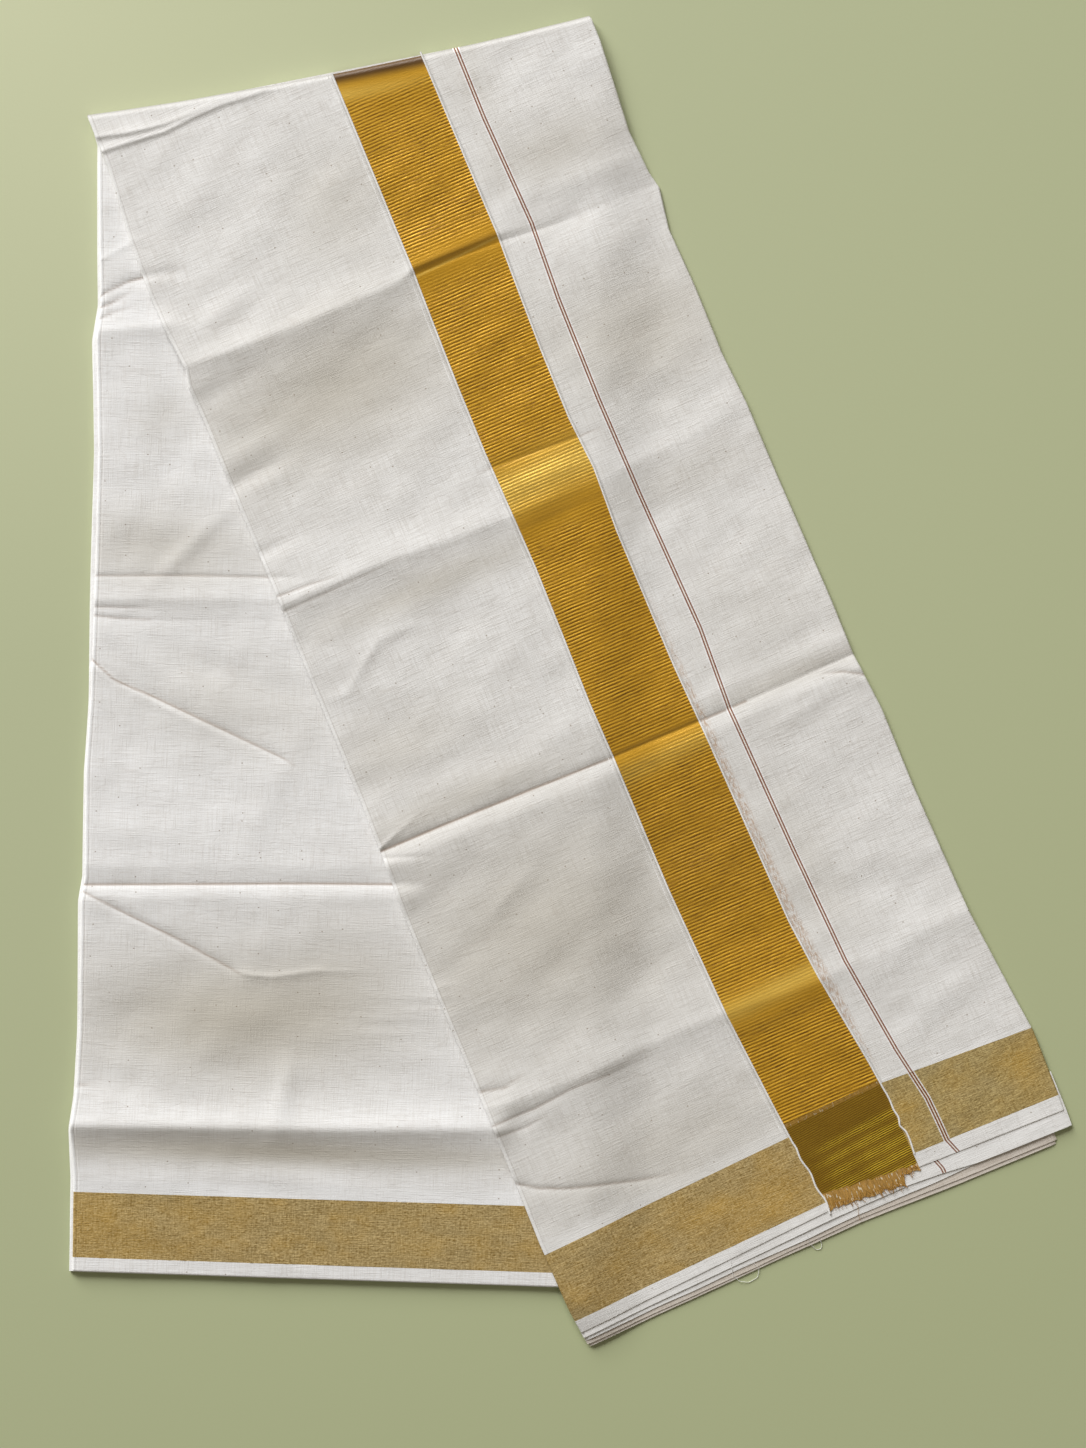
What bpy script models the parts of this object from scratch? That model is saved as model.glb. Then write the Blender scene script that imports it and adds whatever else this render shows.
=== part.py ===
"""A dhoti cloth of plain cotton with a wide zari border, folded in layers and laid on a surface.

Metres, X to the right, Y away from the near end, Z up from the surface that the cloth lies on.
Each leg of the folded cloth has its own directions: along it from the top fold, and across it.
Tables are in millimetres, with a row for each section or fold.
"""

import math

import bpy
import numpy as np

MM = 0.001

# The cloth and its pile of layers
WALL = 1.2
SEAM = 0.3
EDGE_RADIUS = 2.4
UPPER_PILE = 2.4
LOWER_PILE = 3.6
LEG_CLEARANCE = 1.2
DROP_START = 6.0
DROP_WIDTH = 58.0
FOLD_ANGLES = (25.0, 50.0, 75.0, 100.0, 125.0, 150.0)
EDGE_ANGLES = (90.0, 60.0, 30.0)
LOWER_LAYER_PROUD = 3.5
FADE_UNDER = 60.0
HIDDEN_RIDGE = 0.15
FOLD_FADE = 30.0
LAYER_STEP = 0.3
PILE_START_IN = 0.5

# The pile's side is pressed lower where it has less room, down to a share of its height
UPPER_FOOT_ROOM = 1.3
UPPER_FOOT_TOP = 1.25
LOWER_FOOT_ROOM = 2.5
LOWER_FOOT_TOP = 2.45
PLAIN_FOOT_INSET = 0.6
PLAIN_SIDE_INSET = 0.1

# Cells across each stretch, and how far across the leg the border's two edges are
LEFT_CELLS = 7
GOLD_CELLS = 3
RIGHT_CELLS = 5
LOWER_CELLS = 9
GOLD_LEFT_SHARE = 0.48
GOLD_RIGHT_SHARE = 0.66

# Where each leg starts, and the turn of its long direction from -Y towards +X
UPPER_START = (-383.158, 432.017)
UPPER_TURN = 23.2
LOWER_START = (-387.258, 423.817)
LOWER_TURN = -1.8

# Across the upper leg at each station along it
UPPER_SECTIONS = (
    # station, left, gold_left, gold_right, right
    (-35.0, 1.3, 199.0, 272.0, 412.5),
    (14.0, 0.1, 199.0, 272.0, 412.5),
    (75.0, -7.0, 198.2, 271.8, 411.3),
    (124.0, -9.6, 197.5, 271.5, 406.8),
    (154.0, -9.1, 197.0, 271.4, 404.0),
    (190.0, -6.5, 196.5, 271.3, 406.1),
    (204.0, -10.0, 195.8, 270.5, 409.0),
    (239.0, -9.4, 194.5, 268.8, 402.7),
    (290.0, -10.3, 192.8, 266.8, 403.9),
    (350.0, -10.8, 191.8, 265.9, 402.6),
    (395.0, -11.0, 192.3, 268.5, 405.0),
    (450.0, -12.4, 192.9, 265.5, 404.8),
    (510.0, -13.1, 191.5, 265.4, 405.0),
    (570.0, -14.0, 189.8, 265.2, 405.3),
    (618.0, -15.4, 190.2, 266.4, 404.4),
    (669.0, -18.0, 189.8, 267.4, 408.2),
    (738.0, -19.1, 189.3, 268.4, 407.1),
    (800.0, -19.2, 191.0, 269.4, 407.8),
    (850.0, -19.7, 192.3, 273.5, 408.5),
    (931.0, -21.3, 198.2, 284.0, 415.5),
    (960.0, -22.0, 200.5, 286.8, 418.3),
    (1020.0, -21.4, 206.5, 288.2, 416.7),
    (1060.0, -18.0, 208.4, 288.2, 413.3),
)

# Across the lower leg at each station along it
LOWER_SECTIONS = (
    # station, left, right
    (-40.0, -9.0, 401.0),
    (-16.0, -1.0, 401.5),
    (46.0, 1.0, 402.8),
    (115.0, 4.0, 404.2),
    (144.0, 0.0, 404.8),
    (235.0, 4.0, 406.6),
    (344.0, 5.0, 408.8),
    (438.0, 6.0, 410.6),
    (497.0, 4.0, 411.8),
    (582.0, 6.0, 413.5),
    (603.0, 3.0, 413.9),
    (709.0, 5.0, 416.0),
    (763.0, 4.0, 417.0),
    (790.0, 1.0, 417.6),
    (829.0, 4.0, 418.4),
    (906.0, 5.0, 420.0),
)

# Rows of the upper leg from the fold to the woven band, with the cells between a row and the last
UPPER_ROWS = (
    # left_station, right_station, bow, cells
    (-29.0, 58.0, 6.0, 0),
    (24.0, 96.0, 3.0, 5),
    (150.0, 166.0, 0.0, 4),
    (230.0, 232.0, 0.0, 6),
    (350.0, 364.0, 0.0, 3),
    (430.0, 452.0, 0.0, 6),
    (580.0, 590.0, 0.0, 4),
    (650.0, 660.0, 0.0, 6),
    (795.0, 800.0, 0.0, 4),
    (885.0, 885.0, 0.0, 6),
    (972.0, 956.0, 0.0, 3),
)
UPPER_BAND_END = (1031.0, 1016.0)
UPPER_CLOTH_END = (1044.0, 1029.0)

# The cut ends of the layers under the upper leg, each further out than the one above it
UPPER_UNDER_ENDS = (
    # left_station, right_station, depth_below_the_pile_top
    (1046.5, 1034.0, 0.0),
    (1049.0, 1039.5, 0.7),
    (1052.0, 1044.5, 1.3),
    (1055.0, 1049.0, 1.8),
)

LOWER_ROWS = (
    # left_station, right_station, bow, cells
    (-33.0, -125.0, 6.0, 0),
    (30.0, -20.0, 3.0, 2),
    (90.0, 80.0, 0.0, 2),
    (165.0, 145.0, 0.0, 5),
    (310.0, 305.0, 0.0, 3),
    (385.0, 380.0, 0.0, 6),
    (500.0, 500.0, 0.0, 5),
    (565.0, 560.0, 0.0, 2),
    (605.0, 600.0, 0.0, 4),
    (680.0, 675.0, 0.0, 5),
    (755.0, 745.0, 0.0, 2),
    (820.0, 810.0, 0.0, 6),
    (841.0, 841.0, 0.0, 1),
)
LOWER_BAND_END = (894.5, 895.0)
LOWER_CLOTH_END = (906.5, 907.0)

# Folds that stand up in each leg
UPPER_FOLDS = (
    # fold, across, along, height, half_width
    ("first_packing_fold", -12.0, 190.0, 3.6, 13.0),
    ("first_packing_fold", 89.0, 202.0, 3.4, 14.0),
    ("first_packing_fold", 197.0, 189.0, 2.0, 11.0),
    ("first_packing_fold", 271.0, 191.0, 1.8, 10.0),
    ("first_packing_fold", 412.0, 199.0, 2.0, 12.0),
    ("second_packing_fold", -12.0, 391.0, 3.6, 11.0),
    ("second_packing_fold", 56.0, 386.0, 4.0, 12.0),
    ("second_packing_fold", 193.0, 416.0, 2.6, 12.0),
    ("second_packing_fold", 272.0, 413.0, 2.2, 12.0),
    ("second_packing_fold", 404.0, 404.0, 0.6, 12.0),
    ("third_packing_fold", -16.0, 611.0, 2.6, 9.0),
    ("third_packing_fold", 190.0, 620.0, 2.4, 9.0),
    ("third_packing_fold", 267.0, 620.0, 2.0, 9.0),
    ("third_packing_fold", 404.0, 620.0, 2.6, 9.0),
    ("fourth_packing_fold", -20.0, 835.0, 2.4, 12.0),
    ("fourth_packing_fold", 21.0, 856.0, 3.0, 13.0),
    ("fourth_packing_fold", 94.0, 854.0, 3.2, 15.0),
    ("fourth_packing_fold", 191.0, 838.0, 2.6, 13.0),
    ("fourth_packing_fold", 269.0, 853.0, 1.8, 12.0),
    ("fourth_packing_fold", 410.0, 845.0, 1.4, 13.0),
    ("corner_fold_one", -2.0, -21.0, 0.8, 5.0),
    ("corner_fold_one", 74.0, -10.0, 0.7, 5.0),
    ("corner_fold_one", 140.0, 0.0, 0.0, 5.0),
    ("corner_fold_two", -4.0, -4.0, 1.5, 5.0),
    ("corner_fold_two", 85.0, 5.0, 1.0, 5.0),
    ("corner_fold_two", 165.0, 14.0, 0.0, 5.0),
)
LOWER_FOLDS = (
    # fold, across, along, height, half_width
    ("upper_step", -2.0, 143.0, 2.2, 10.0),
    ("upper_step", 63.0, 126.0, 1.6, 9.0),
    ("double_fold_high", 2.0, 336.0, 1.8, 8.0),
    ("double_fold_high", 147.0, 331.0, 1.2, 8.0),
    ("double_fold_low", 2.0, 368.0, 2.2, 9.0),
    ("double_fold_low", 165.0, 364.0, 0.8, 9.0),
    ("pinch_high", 6.0, 403.0, 2.0, 8.0),
    ("pinch_high", 65.0, 436.0, 1.8, 8.0),
    ("pinch_high", 177.0, 486.0, 0.6, 8.0),
    ("middle_fold", 4.0, 587.0, 3.2, 9.0),
    ("middle_fold", 258.0, 580.0, 2.6, 9.0),
    ("pinch_low", 30.0, 606.0, 1.4, 8.0),
    ("pinch_low", 135.0, 656.0, 2.0, 9.0),
    ("pinch_low", 231.0, 652.0, 0.8, 9.0),
    ("short_diagonal", 240.0, 706.0, 0.8, 8.0),
    ("short_diagonal", 299.0, 668.0, 1.6, 8.0),
    ("low_ridge", -1.0, 789.0, 5.4, 15.0),
    ("low_ridge", 160.0, 784.0, 5.0, 15.0),
    ("low_ridge", 348.0, 778.0, 4.2, 14.0),
)

# Side of the pile: how far in from the edge, and how high, from its foot and then from its top
UPPER_SIDE_FOOT = (
    # inset, above_foot
    (2.0, 0.0),
    (0.6, 0.2),
    (0.1, 0.65),
    (0.6, 1.1),
    (1.5, 1.2),
)
LOWER_SIDE_FOOT = (
    # inset, above_foot
    (-1.4, 0.0),
    (-3.1, 0.3),
    (-3.5, 0.7),
    (-3.1, 1.15),
    (0.5, 1.25),
    (0.1, 1.8),
    (0.6, 2.3),
    (1.5, 2.4),
)
SIDE_TOP = (
    # inset, below_top
    (1.5, 0.9),
    (1.76, 0.26),
)

# The rounded end of the lower pile: how far past the face's turn, and how far under the pile's top
LOWER_PILE_END = (
    # onward, under_top
    (0.64, 0.26),
    (0.9, 0.9),
    (1.0, 1.25),
    (1.8, 1.35),
    (2.2, 2.0),
    (2.35, 3.0),
)

# slot, colour, roughness, metallic
COTTON = ("cotton", (0.80, 0.78, 0.73, 1.0), 0.9, 0.0)
ZARI = ("zari", (0.48, 0.27, 0.02, 1.0), 0.4, 0.7)
TISSUE = ("tissue", (0.46, 0.33, 0.11, 1.0), 0.5, 0.4)


def smooth(x):
    """Rise from 0 to 1 as x goes from 0 to 1, level at both ends."""
    x = min(1.0, max(0.0, x))
    return x * x * (3.0 - 2.0 * x)


def column(table, index):
    """One column of a table."""
    return [row[index] for row in table]


def across_at(sections, index, station):
    """How far across the leg one edge of its sections lies at a station."""
    return float(np.interp(station, column(sections, 0), column(sections, index)))


def grouped(table):
    """The rows of a fold table by the fold's name."""
    folds = {}
    for name, *values in table:
        folds.setdefault(name, []).append(values)
    return list(folds.values())


UPPER_GROUPS = grouped(UPPER_FOLDS)
LOWER_GROUPS = grouped(LOWER_FOLDS)


def relief(groups, across, along):
    """How far the leg's folds lift the cloth at a place on it."""
    lift = 0.0
    for rows in groups:
        lats = column(rows, 0)
        overshoot = max(lats[0] - across, across - lats[-1], 0.0)
        middle = float(np.interp(across, lats, column(rows, 1)))
        height = float(np.interp(across, lats, column(rows, 2)))
        width = float(np.interp(across, lats, column(rows, 3)))
        away = (along - middle) / width
        fade = 1.0 - smooth(overshoot / FOLD_FADE)
        lift += height * fade * math.exp(-away * away)
    return lift


def directions(turn):
    """A leg's directions in the plane: along it and across it."""
    angle = math.radians(turn)
    return (
        np.array((math.sin(angle), -math.cos(angle))),
        np.array((math.cos(angle), math.sin(angle))),
    )


UPPER_ALONG, UPPER_ACROSS = directions(UPPER_TURN)
LOWER_ALONG, LOWER_ACROSS = directions(LOWER_TURN)


def upper_place(along, across):
    """The plane point of a place on the upper leg, in millimetres."""
    return np.array(UPPER_START) + along * UPPER_ALONG + across * UPPER_ACROSS


def lower_place(along, across):
    """The plane point of a place on the lower leg, in millimetres."""
    return np.array(LOWER_START) + along * LOWER_ALONG + across * LOWER_ACROSS


def lower_top(point):
    """The height of the lower leg's upper face, with its folds sinking under the upper leg."""
    here = point - np.array(LOWER_START)
    along, across = float(here @ LOWER_ALONG), float(here @ LOWER_ACROSS)
    there = point - np.array(UPPER_START)
    u_along, u_across = float(there @ UPPER_ALONG), float(there @ UPPER_ACROSS)
    inside = u_across - across_at(UPPER_SECTIONS, 1, u_along)
    keep = 1.0 - (1.0 - HIDDEN_RIDGE) * smooth(inside / FADE_UNDER)
    return LOWER_PILE + SEAM + WALL + keep * relief(LOWER_GROUPS, across, along)


def upper_base(point):
    """The height that the upper leg's pile rests at: on the lower leg, and then on the surface."""
    here = point - np.array(LOWER_START)
    along, across = float(here @ LOWER_ALONG), float(here @ LOWER_ACROSS)
    beyond_side = max(0.0, across - across_at(LOWER_SECTIONS, 2, along))
    beyond_end = max(0.0, along - LOWER_CLOTH_END[0])
    outside = math.hypot(beyond_side, beyond_end)
    stay = 1.0 - smooth((outside - DROP_START) / DROP_WIDTH)
    return (lower_top(point) + LEG_CLEARANCE) * stay


def upper_pile_top(point, along, across):
    """The height of the top of the upper leg's pile of hidden layers."""
    return upper_base(point) + UPPER_PILE + relief(UPPER_GROUPS, across, along)


def between(table):
    """The rows of a leg, with the cells of each stretch evenly spaced."""
    rows = [table[0][:3]]
    for last, row in zip(table, table[1:]):
        for k in range(1, row[3] + 1):
            share = k / row[3]
            rows.append([a + (b - a) * share for a, b in zip(last[:3], row[:3])])
    return rows


def spaced(first, last, cells):
    """Rows from one pair of stations to another, both ends included."""
    rows = []
    for k in range(cells + 1):
        share = k / cells
        rows.append([a + (b - a) * share for a, b in zip(first, last)] + [0.0])
    return rows


def row_line(sections, row, edge):
    """The ends across a leg of one row, and the function that gives its station anywhere."""
    left = across_at(sections, 1, row[0])
    right = across_at(sections, edge, row[1])

    def station(across):
        share = (across - left) / (right - left)
        return row[0] + (row[1] - row[0]) * share + 4.0 * row[2] * share * (1.0 - share)

    return station


def solid(name, points, faces, finish):
    """Make one closed body of a table of points and faces, in millimetres."""
    mesh = bpy.data.meshes.new(name)
    mesh.from_pydata([tuple(float(v) * MM for v in p) for p in points], [], faces)
    mesh.validate()
    mesh.update()
    body = bpy.data.objects.new(name, mesh)
    bpy.context.scene.collection.objects.link(body)
    slot, colour, roughness, metallic = finish
    material = bpy.data.materials.new(name + "_" + slot)
    material.use_nodes = True
    shader = material.node_tree.nodes["Principled BSDF"]
    shader.inputs["Base Color"].default_value = colour
    shader.inputs["Roughness"].default_value = roughness
    shader.inputs["Metallic"].default_value = metallic
    mesh.materials.append(material)
    for polygon in mesh.polygons:
        polygon.use_smooth = True
    return body


def wall(name, outer, inner, finish):
    """A wall of cloth between two grids of points, closed all round its rim."""
    rows, cols = len(outer), len(outer[0])
    points = [p for line in outer for p in line] + [p for line in inner for p in line]
    half = rows * cols
    faces = []

    def at(i, j):
        return i * cols + j

    for i in range(rows - 1):
        for j in range(cols - 1):
            a, b, c, d = at(i, j), at(i + 1, j), at(i + 1, j + 1), at(i, j + 1)
            faces += [(a, b, c), (a, c, d)]
            faces += [(a + half, c + half, b + half), (a + half, d + half, c + half)]
    rim = [at(0, j) for j in range(cols)]
    rim += [at(i, cols - 1) for i in range(1, rows)]
    rim += [at(rows - 1, j) for j in range(cols - 2, -1, -1)]
    rim += [at(i, 0) for i in range(rows - 2, 0, -1)]
    for a, b in zip(rim, rim[1:] + rim[:1]):
        faces += [(a, b, b + half), (a, b + half, a + half)]
    return solid(name, points, faces, finish)


def pile(name, rings, finish):
    """A closed body through rings of points, each a left side, a top, a right side and a bottom."""
    count = len(rings[0][0])
    points = [p for ring, _ in rings for p in ring]
    faces = []
    for i in range(len(rings) - 1):
        for k in range(count):
            a, b = i * count + k, i * count + (k + 1) % count
            faces += [(a, a + count, b + count), (a, b + count, b)]
    side = rings[0][1]
    for i, turn in ((0, 1), (len(rings) - 1, -1)):
        start = i * count
        tops = list(range(start + side, start + count - side - bottom_count(count, side) + 1))
        bottoms = [start] + list(range(start + count - 1, start + count - len(tops), -1))
        for k in range(len(tops) - 1):
            quad = (bottoms[k], tops[k], tops[k + 1], bottoms[k + 1])
            faces.append(quad[::turn])
        left = tuple(range(start, start + side + 1))
        right = tuple(range(tops[-1], tops[-1] + side)) + (bottoms[-1],)
        faces.append(left[::turn])
        faces.append(right[::turn])
    return solid(name, points, faces, finish)


def bottom_count(count, side):
    """How many points of a ring lie along its bottom."""
    return (count - 2 * side) // 2


def edge_columns(edge, sign):
    """Columns round a folded side edge: how far in, and how far down, outside and inside."""
    columns = []
    for angle in EDGE_ANGLES:
        sine, cosine = math.sin(math.radians(angle)), math.cos(math.radians(angle))
        inner = EDGE_RADIUS - WALL
        columns.append(
            (
                edge,
                sign * (EDGE_RADIUS - EDGE_RADIUS * sine),
                EDGE_RADIUS - EDGE_RADIUS * cosine,
                sign * (EDGE_RADIUS - inner * sine),
                EDGE_RADIUS - inner * cosine,
            )
        )
    return columns


def flat_columns(first, last, cells, first_move, last_move):
    """Columns across the flat of a panel, from one edge to another, each with a move."""
    columns = []
    for k in range(cells + 1):
        share = k / cells
        move = first_move + (last_move - first_move) * share
        columns.append(((first, last, share), move, 0.0, move, WALL))
    return columns


def column_across(sections, row, edge, move, right_edge):
    """How far across the leg a column lies in one row."""
    shares = {1: 0.0, 2: GOLD_LEFT_SHARE, 3: GOLD_RIGHT_SHARE, right_edge: 1.0}
    if isinstance(edge, tuple):
        first, last, share = edge
    else:
        first, last, share = edge, edge, 0.0
    ends = []
    for one in (first, last):
        station = row[0] + (row[1] - row[0]) * shares[one]
        ends.append(across_at(sections, one, station))
    return ends[0] + (ends[1] - ends[0]) * share + move


def upper_point(row, across, drop):
    """A point of the upper leg's face, that far below its outer surface."""
    along = row_line(UPPER_SECTIONS, row, 4)(across)
    point = upper_place(along, across)
    top = upper_pile_top(point, along, across) + SEAM + WALL
    return (point[0], point[1], top - drop)


def upper_fold_point(row, across, drop, angle):
    """A point of the face where it goes round the top fold, that far turned from its top."""
    along = row_line(UPPER_SECTIONS, row, 4)(across)
    point = upper_place(along, across)
    top = upper_pile_top(point, along, across) + SEAM + WALL
    radius = top / 2.0
    sine, cosine = math.sin(math.radians(angle)), math.cos(math.radians(angle))
    point = point - UPPER_ALONG * (radius - drop) * sine
    return (point[0], point[1], radius + (radius - drop) * cosine)


def upper_panel(name, rows, columns, finish, fold=False):
    """One woven stretch of the upper leg's face."""
    outer, inner = [], []
    if fold:
        for angle in reversed(FOLD_ANGLES):
            out_line, in_line = [], []
            for edge, out_move, out_drop, in_move, in_drop in columns:
                out_at = column_across(UPPER_SECTIONS, rows[0], edge, out_move, 4)
                in_at = column_across(UPPER_SECTIONS, rows[0], edge, in_move, 4)
                out_line.append(upper_fold_point(rows[0], out_at, out_drop, angle))
                in_line.append(upper_fold_point(rows[0], in_at, in_drop, angle))
            outer.append(out_line)
            inner.append(in_line)
    for row in rows:
        out_line, in_line = [], []
        for edge, out_move, out_drop, in_move, in_drop in columns:
            out_at = column_across(UPPER_SECTIONS, row, edge, out_move, 4)
            in_at = column_across(UPPER_SECTIONS, row, edge, in_move, 4)
            out_line.append(upper_point(row, out_at, out_drop))
            in_line.append(upper_point(row, in_at, in_drop))
        outer.append(out_line)
        inner.append(in_line)
    return wall(name, outer, inner, finish)


def lower_point(row, across, drop):
    """A point of the lower leg's face, that far below its outer surface."""
    along = row_line(LOWER_SECTIONS, row, 2)(across)
    point = lower_place(along, across)
    return (point[0], point[1], lower_top(point) - drop)


def lower_end_point(row, across, drop, angle):
    """A point of the face where it goes round the crosswise fold at the lower leg's end."""
    along = row_line(LOWER_SECTIONS, row, 2)(across)
    point = lower_place(along, across)
    top = lower_top(point)
    reach = EDGE_RADIUS - drop
    sine, cosine = math.sin(math.radians(angle)), math.cos(math.radians(angle))
    point = point + LOWER_ALONG * reach * sine
    return (point[0], point[1], top - EDGE_RADIUS + reach * cosine)


def lower_panel(name, rows, columns, finish, end=False):
    """One woven stretch of the lower leg's face."""
    outer, inner = [], []
    for row in rows:
        out_line, in_line = [], []
        for edge, out_move, out_drop, in_move, in_drop in columns:
            out_at = column_across(LOWER_SECTIONS, row, edge, out_move, 2)
            in_at = column_across(LOWER_SECTIONS, row, edge, in_move, 2)
            out_line.append(lower_point(row, out_at, out_drop))
            in_line.append(lower_point(row, in_at, in_drop))
        outer.append(out_line)
        inner.append(in_line)
    if end:
        for angle in reversed(EDGE_ANGLES):
            out_line, in_line = [], []
            for edge, out_move, out_drop, in_move, in_drop in columns:
                out_at = column_across(LOWER_SECTIONS, rows[-1], edge, out_move, 2)
                in_at = column_across(LOWER_SECTIONS, rows[-1], edge, in_move, 2)
                out_line.append(lower_end_point(rows[-1], out_at, out_drop, angle))
                in_line.append(lower_end_point(rows[-1], in_at, in_drop, angle))
            outer.append(out_line)
            inner.append(in_line)
    return wall(name, outer, inner, finish)


def build_upper_pile(rows, columns):
    """The hidden layers of the upper leg, layered at its sides and stepped at its cut end."""
    rings = []
    steps = [((UPPER_UNDER_ENDS[0][0], UPPER_UNDER_ENDS[0][1], 0.0), UPPER_UNDER_ENDS[0][2])]
    for last, (left, right, below) in zip(UPPER_UNDER_ENDS, UPPER_UNDER_ENDS[1:]):
        steps.append(((last[0] + LAYER_STEP, last[1] + LAYER_STEP, 0.0), below))
        steps.append(((left, right, 0.0), below))
    for row, below in [(row, 0.0) for row in rows] + steps:
        station = row_line(UPPER_SECTIONS, row, 4)
        tops, feet = [], []
        for edge, move in columns:
            across = column_across(UPPER_SECTIONS, row, edge, move, 4)
            along = station(across)
            point = upper_place(along, across)
            top = upper_pile_top(point, along, across) - below
            tops.append((point[0], point[1], top))
            feet.append((point[0], point[1], upper_base(point)))
        left, right = [], []
        for side, edge, sign in ((left, 1, 1.0), (right, 4, -1.0)):
            rim = column_across(UPPER_SECTIONS, row, edge, 0.0, 4)
            for inset, above in UPPER_SIDE_FOOT:
                point = upper_place(station(rim + sign * inset), rim + sign * inset)
                foot = upper_base(point)
                room = upper_pile_top(point, station(rim), rim) - below - foot
                side.append((point[0], point[1], foot + min(above, above * room / UPPER_FOOT_ROOM)))
            for inset, under in SIDE_TOP:
                point = upper_place(station(rim + sign * inset), rim + sign * inset)
                foot = upper_base(point)
                top = upper_pile_top(point, station(rim), rim) - below
                least = foot + UPPER_FOOT_TOP * (top - foot) / UPPER_PILE
                side.append((point[0], point[1], max(top - under, least)))
        ring = left + tops + right[::-1] + feet[1:-1][::-1]
        rings.append((ring, len(left)))
    return rings


def build_lower_pile(rows, columns):
    """The hidden layers of the lower leg, layered at its sides, with one layer standing proud."""
    rings = []
    for row, below in rows:
        station = row_line(LOWER_SECTIONS, row, 2)
        tops, feet = [], []
        for edge, move in columns:
            across = column_across(LOWER_SECTIONS, row, edge, move, 2)
            point = lower_place(station(across), across)
            tops.append((point[0], point[1], lower_top(point) - SEAM - WALL - below))
            feet.append((point[0], point[1], 0.0))
        left, right = [], []
        for side, edge, sign in ((left, 1, 1.0), (right, 2, -1.0)):
            proud = LOWER_LAYER_PROUD if edge == 1 else 0.0
            rim = column_across(LOWER_SECTIONS, row, edge, proud, 2)
            for inset, above in LOWER_SIDE_FOOT:
                plain = PLAIN_SIDE_INSET if above else PLAIN_FOOT_INSET
                inset = inset if edge == 1 else max(inset, plain)
                point = lower_place(station(rim + sign * inset), rim + sign * inset)
                top = lower_top(point) - SEAM - WALL - below
                side.append((point[0], point[1], min(above, above * top / LOWER_FOOT_ROOM)))
            for inset, under in SIDE_TOP:
                point = lower_place(station(rim + sign * inset), rim + sign * inset)
                top = lower_top(point) - SEAM - WALL - below
                side.append((point[0], point[1], max(top - under, top * LOWER_FOOT_TOP / LOWER_PILE)))
        ring = left + tops + right[::-1] + feet[1:-1][::-1]
        rings.append((ring, len(left)))
    return rings


def build_upper_leg():
    """Make every stretch of the upper leg's face, and the pile of layers under it."""
    half = SEAM / 2.0
    left_columns = edge_columns(1, 1.0) + flat_columns(1, 2, LEFT_CELLS, EDGE_RADIUS, -half)
    gold_columns = flat_columns(2, 3, GOLD_CELLS, half, -half)
    right_columns = flat_columns(3, 4, RIGHT_CELLS, half, -EDGE_RADIUS)
    right_columns += edge_columns(4, -1.0)[::-1]
    rows = between(UPPER_ROWS)
    last = rows[-1]
    rows[-1] = [last[0] - half, last[1] - half, last[2]]
    upper_panel("upper_face_left", rows, left_columns, COTTON, fold=True)
    upper_panel("zari_border", rows, gold_columns, ZARI, fold=True)
    upper_panel("upper_face_right", rows, right_columns, COTTON, fold=True)

    band_start = (last[0] + half, last[1] + half)
    band_end = (UPPER_BAND_END[0] - half, UPPER_BAND_END[1] - half)
    band_rows = spaced(band_start, band_end, 2)
    heading_rows = spaced([v + SEAM for v in band_end], UPPER_CLOTH_END, 1)
    crossing_rows = spaced(band_start, band_end, 2) + heading_rows[1:]
    upper_panel("upper_band_left", band_rows, left_columns, TISSUE)
    upper_panel("border_crossing", crossing_rows, gold_columns, ZARI)
    upper_panel("upper_band_right", band_rows, right_columns, TISSUE)
    upper_panel("upper_heading_left", heading_rows, left_columns, COTTON)
    upper_panel("upper_heading_right", heading_rows, right_columns, COTTON)

    pile_columns = [(1, EDGE_RADIUS)]
    for first, last_edge, cells in ((1, 2, LEFT_CELLS), (2, 3, GOLD_CELLS), (3, 4, RIGHT_CELLS)):
        first_move = EDGE_RADIUS if first == 1 else 0.0
        last_move = -EDGE_RADIUS if last_edge == 4 else 0.0
        for k in range(1, cells + 1):
            share = k / cells
            move = first_move + (last_move - first_move) * share
            pile_columns.append(((first, last_edge, share), move))
    pile_rows = between(UPPER_ROWS) + band_rows[1:] + [heading_rows[-1]]
    first = pile_rows[0]
    pile_rows[0] = [first[0] + PILE_START_IN, first[1] + PILE_START_IN, first[2]]
    pile("upper_layers", build_upper_pile(pile_rows, pile_columns), COTTON)


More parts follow.
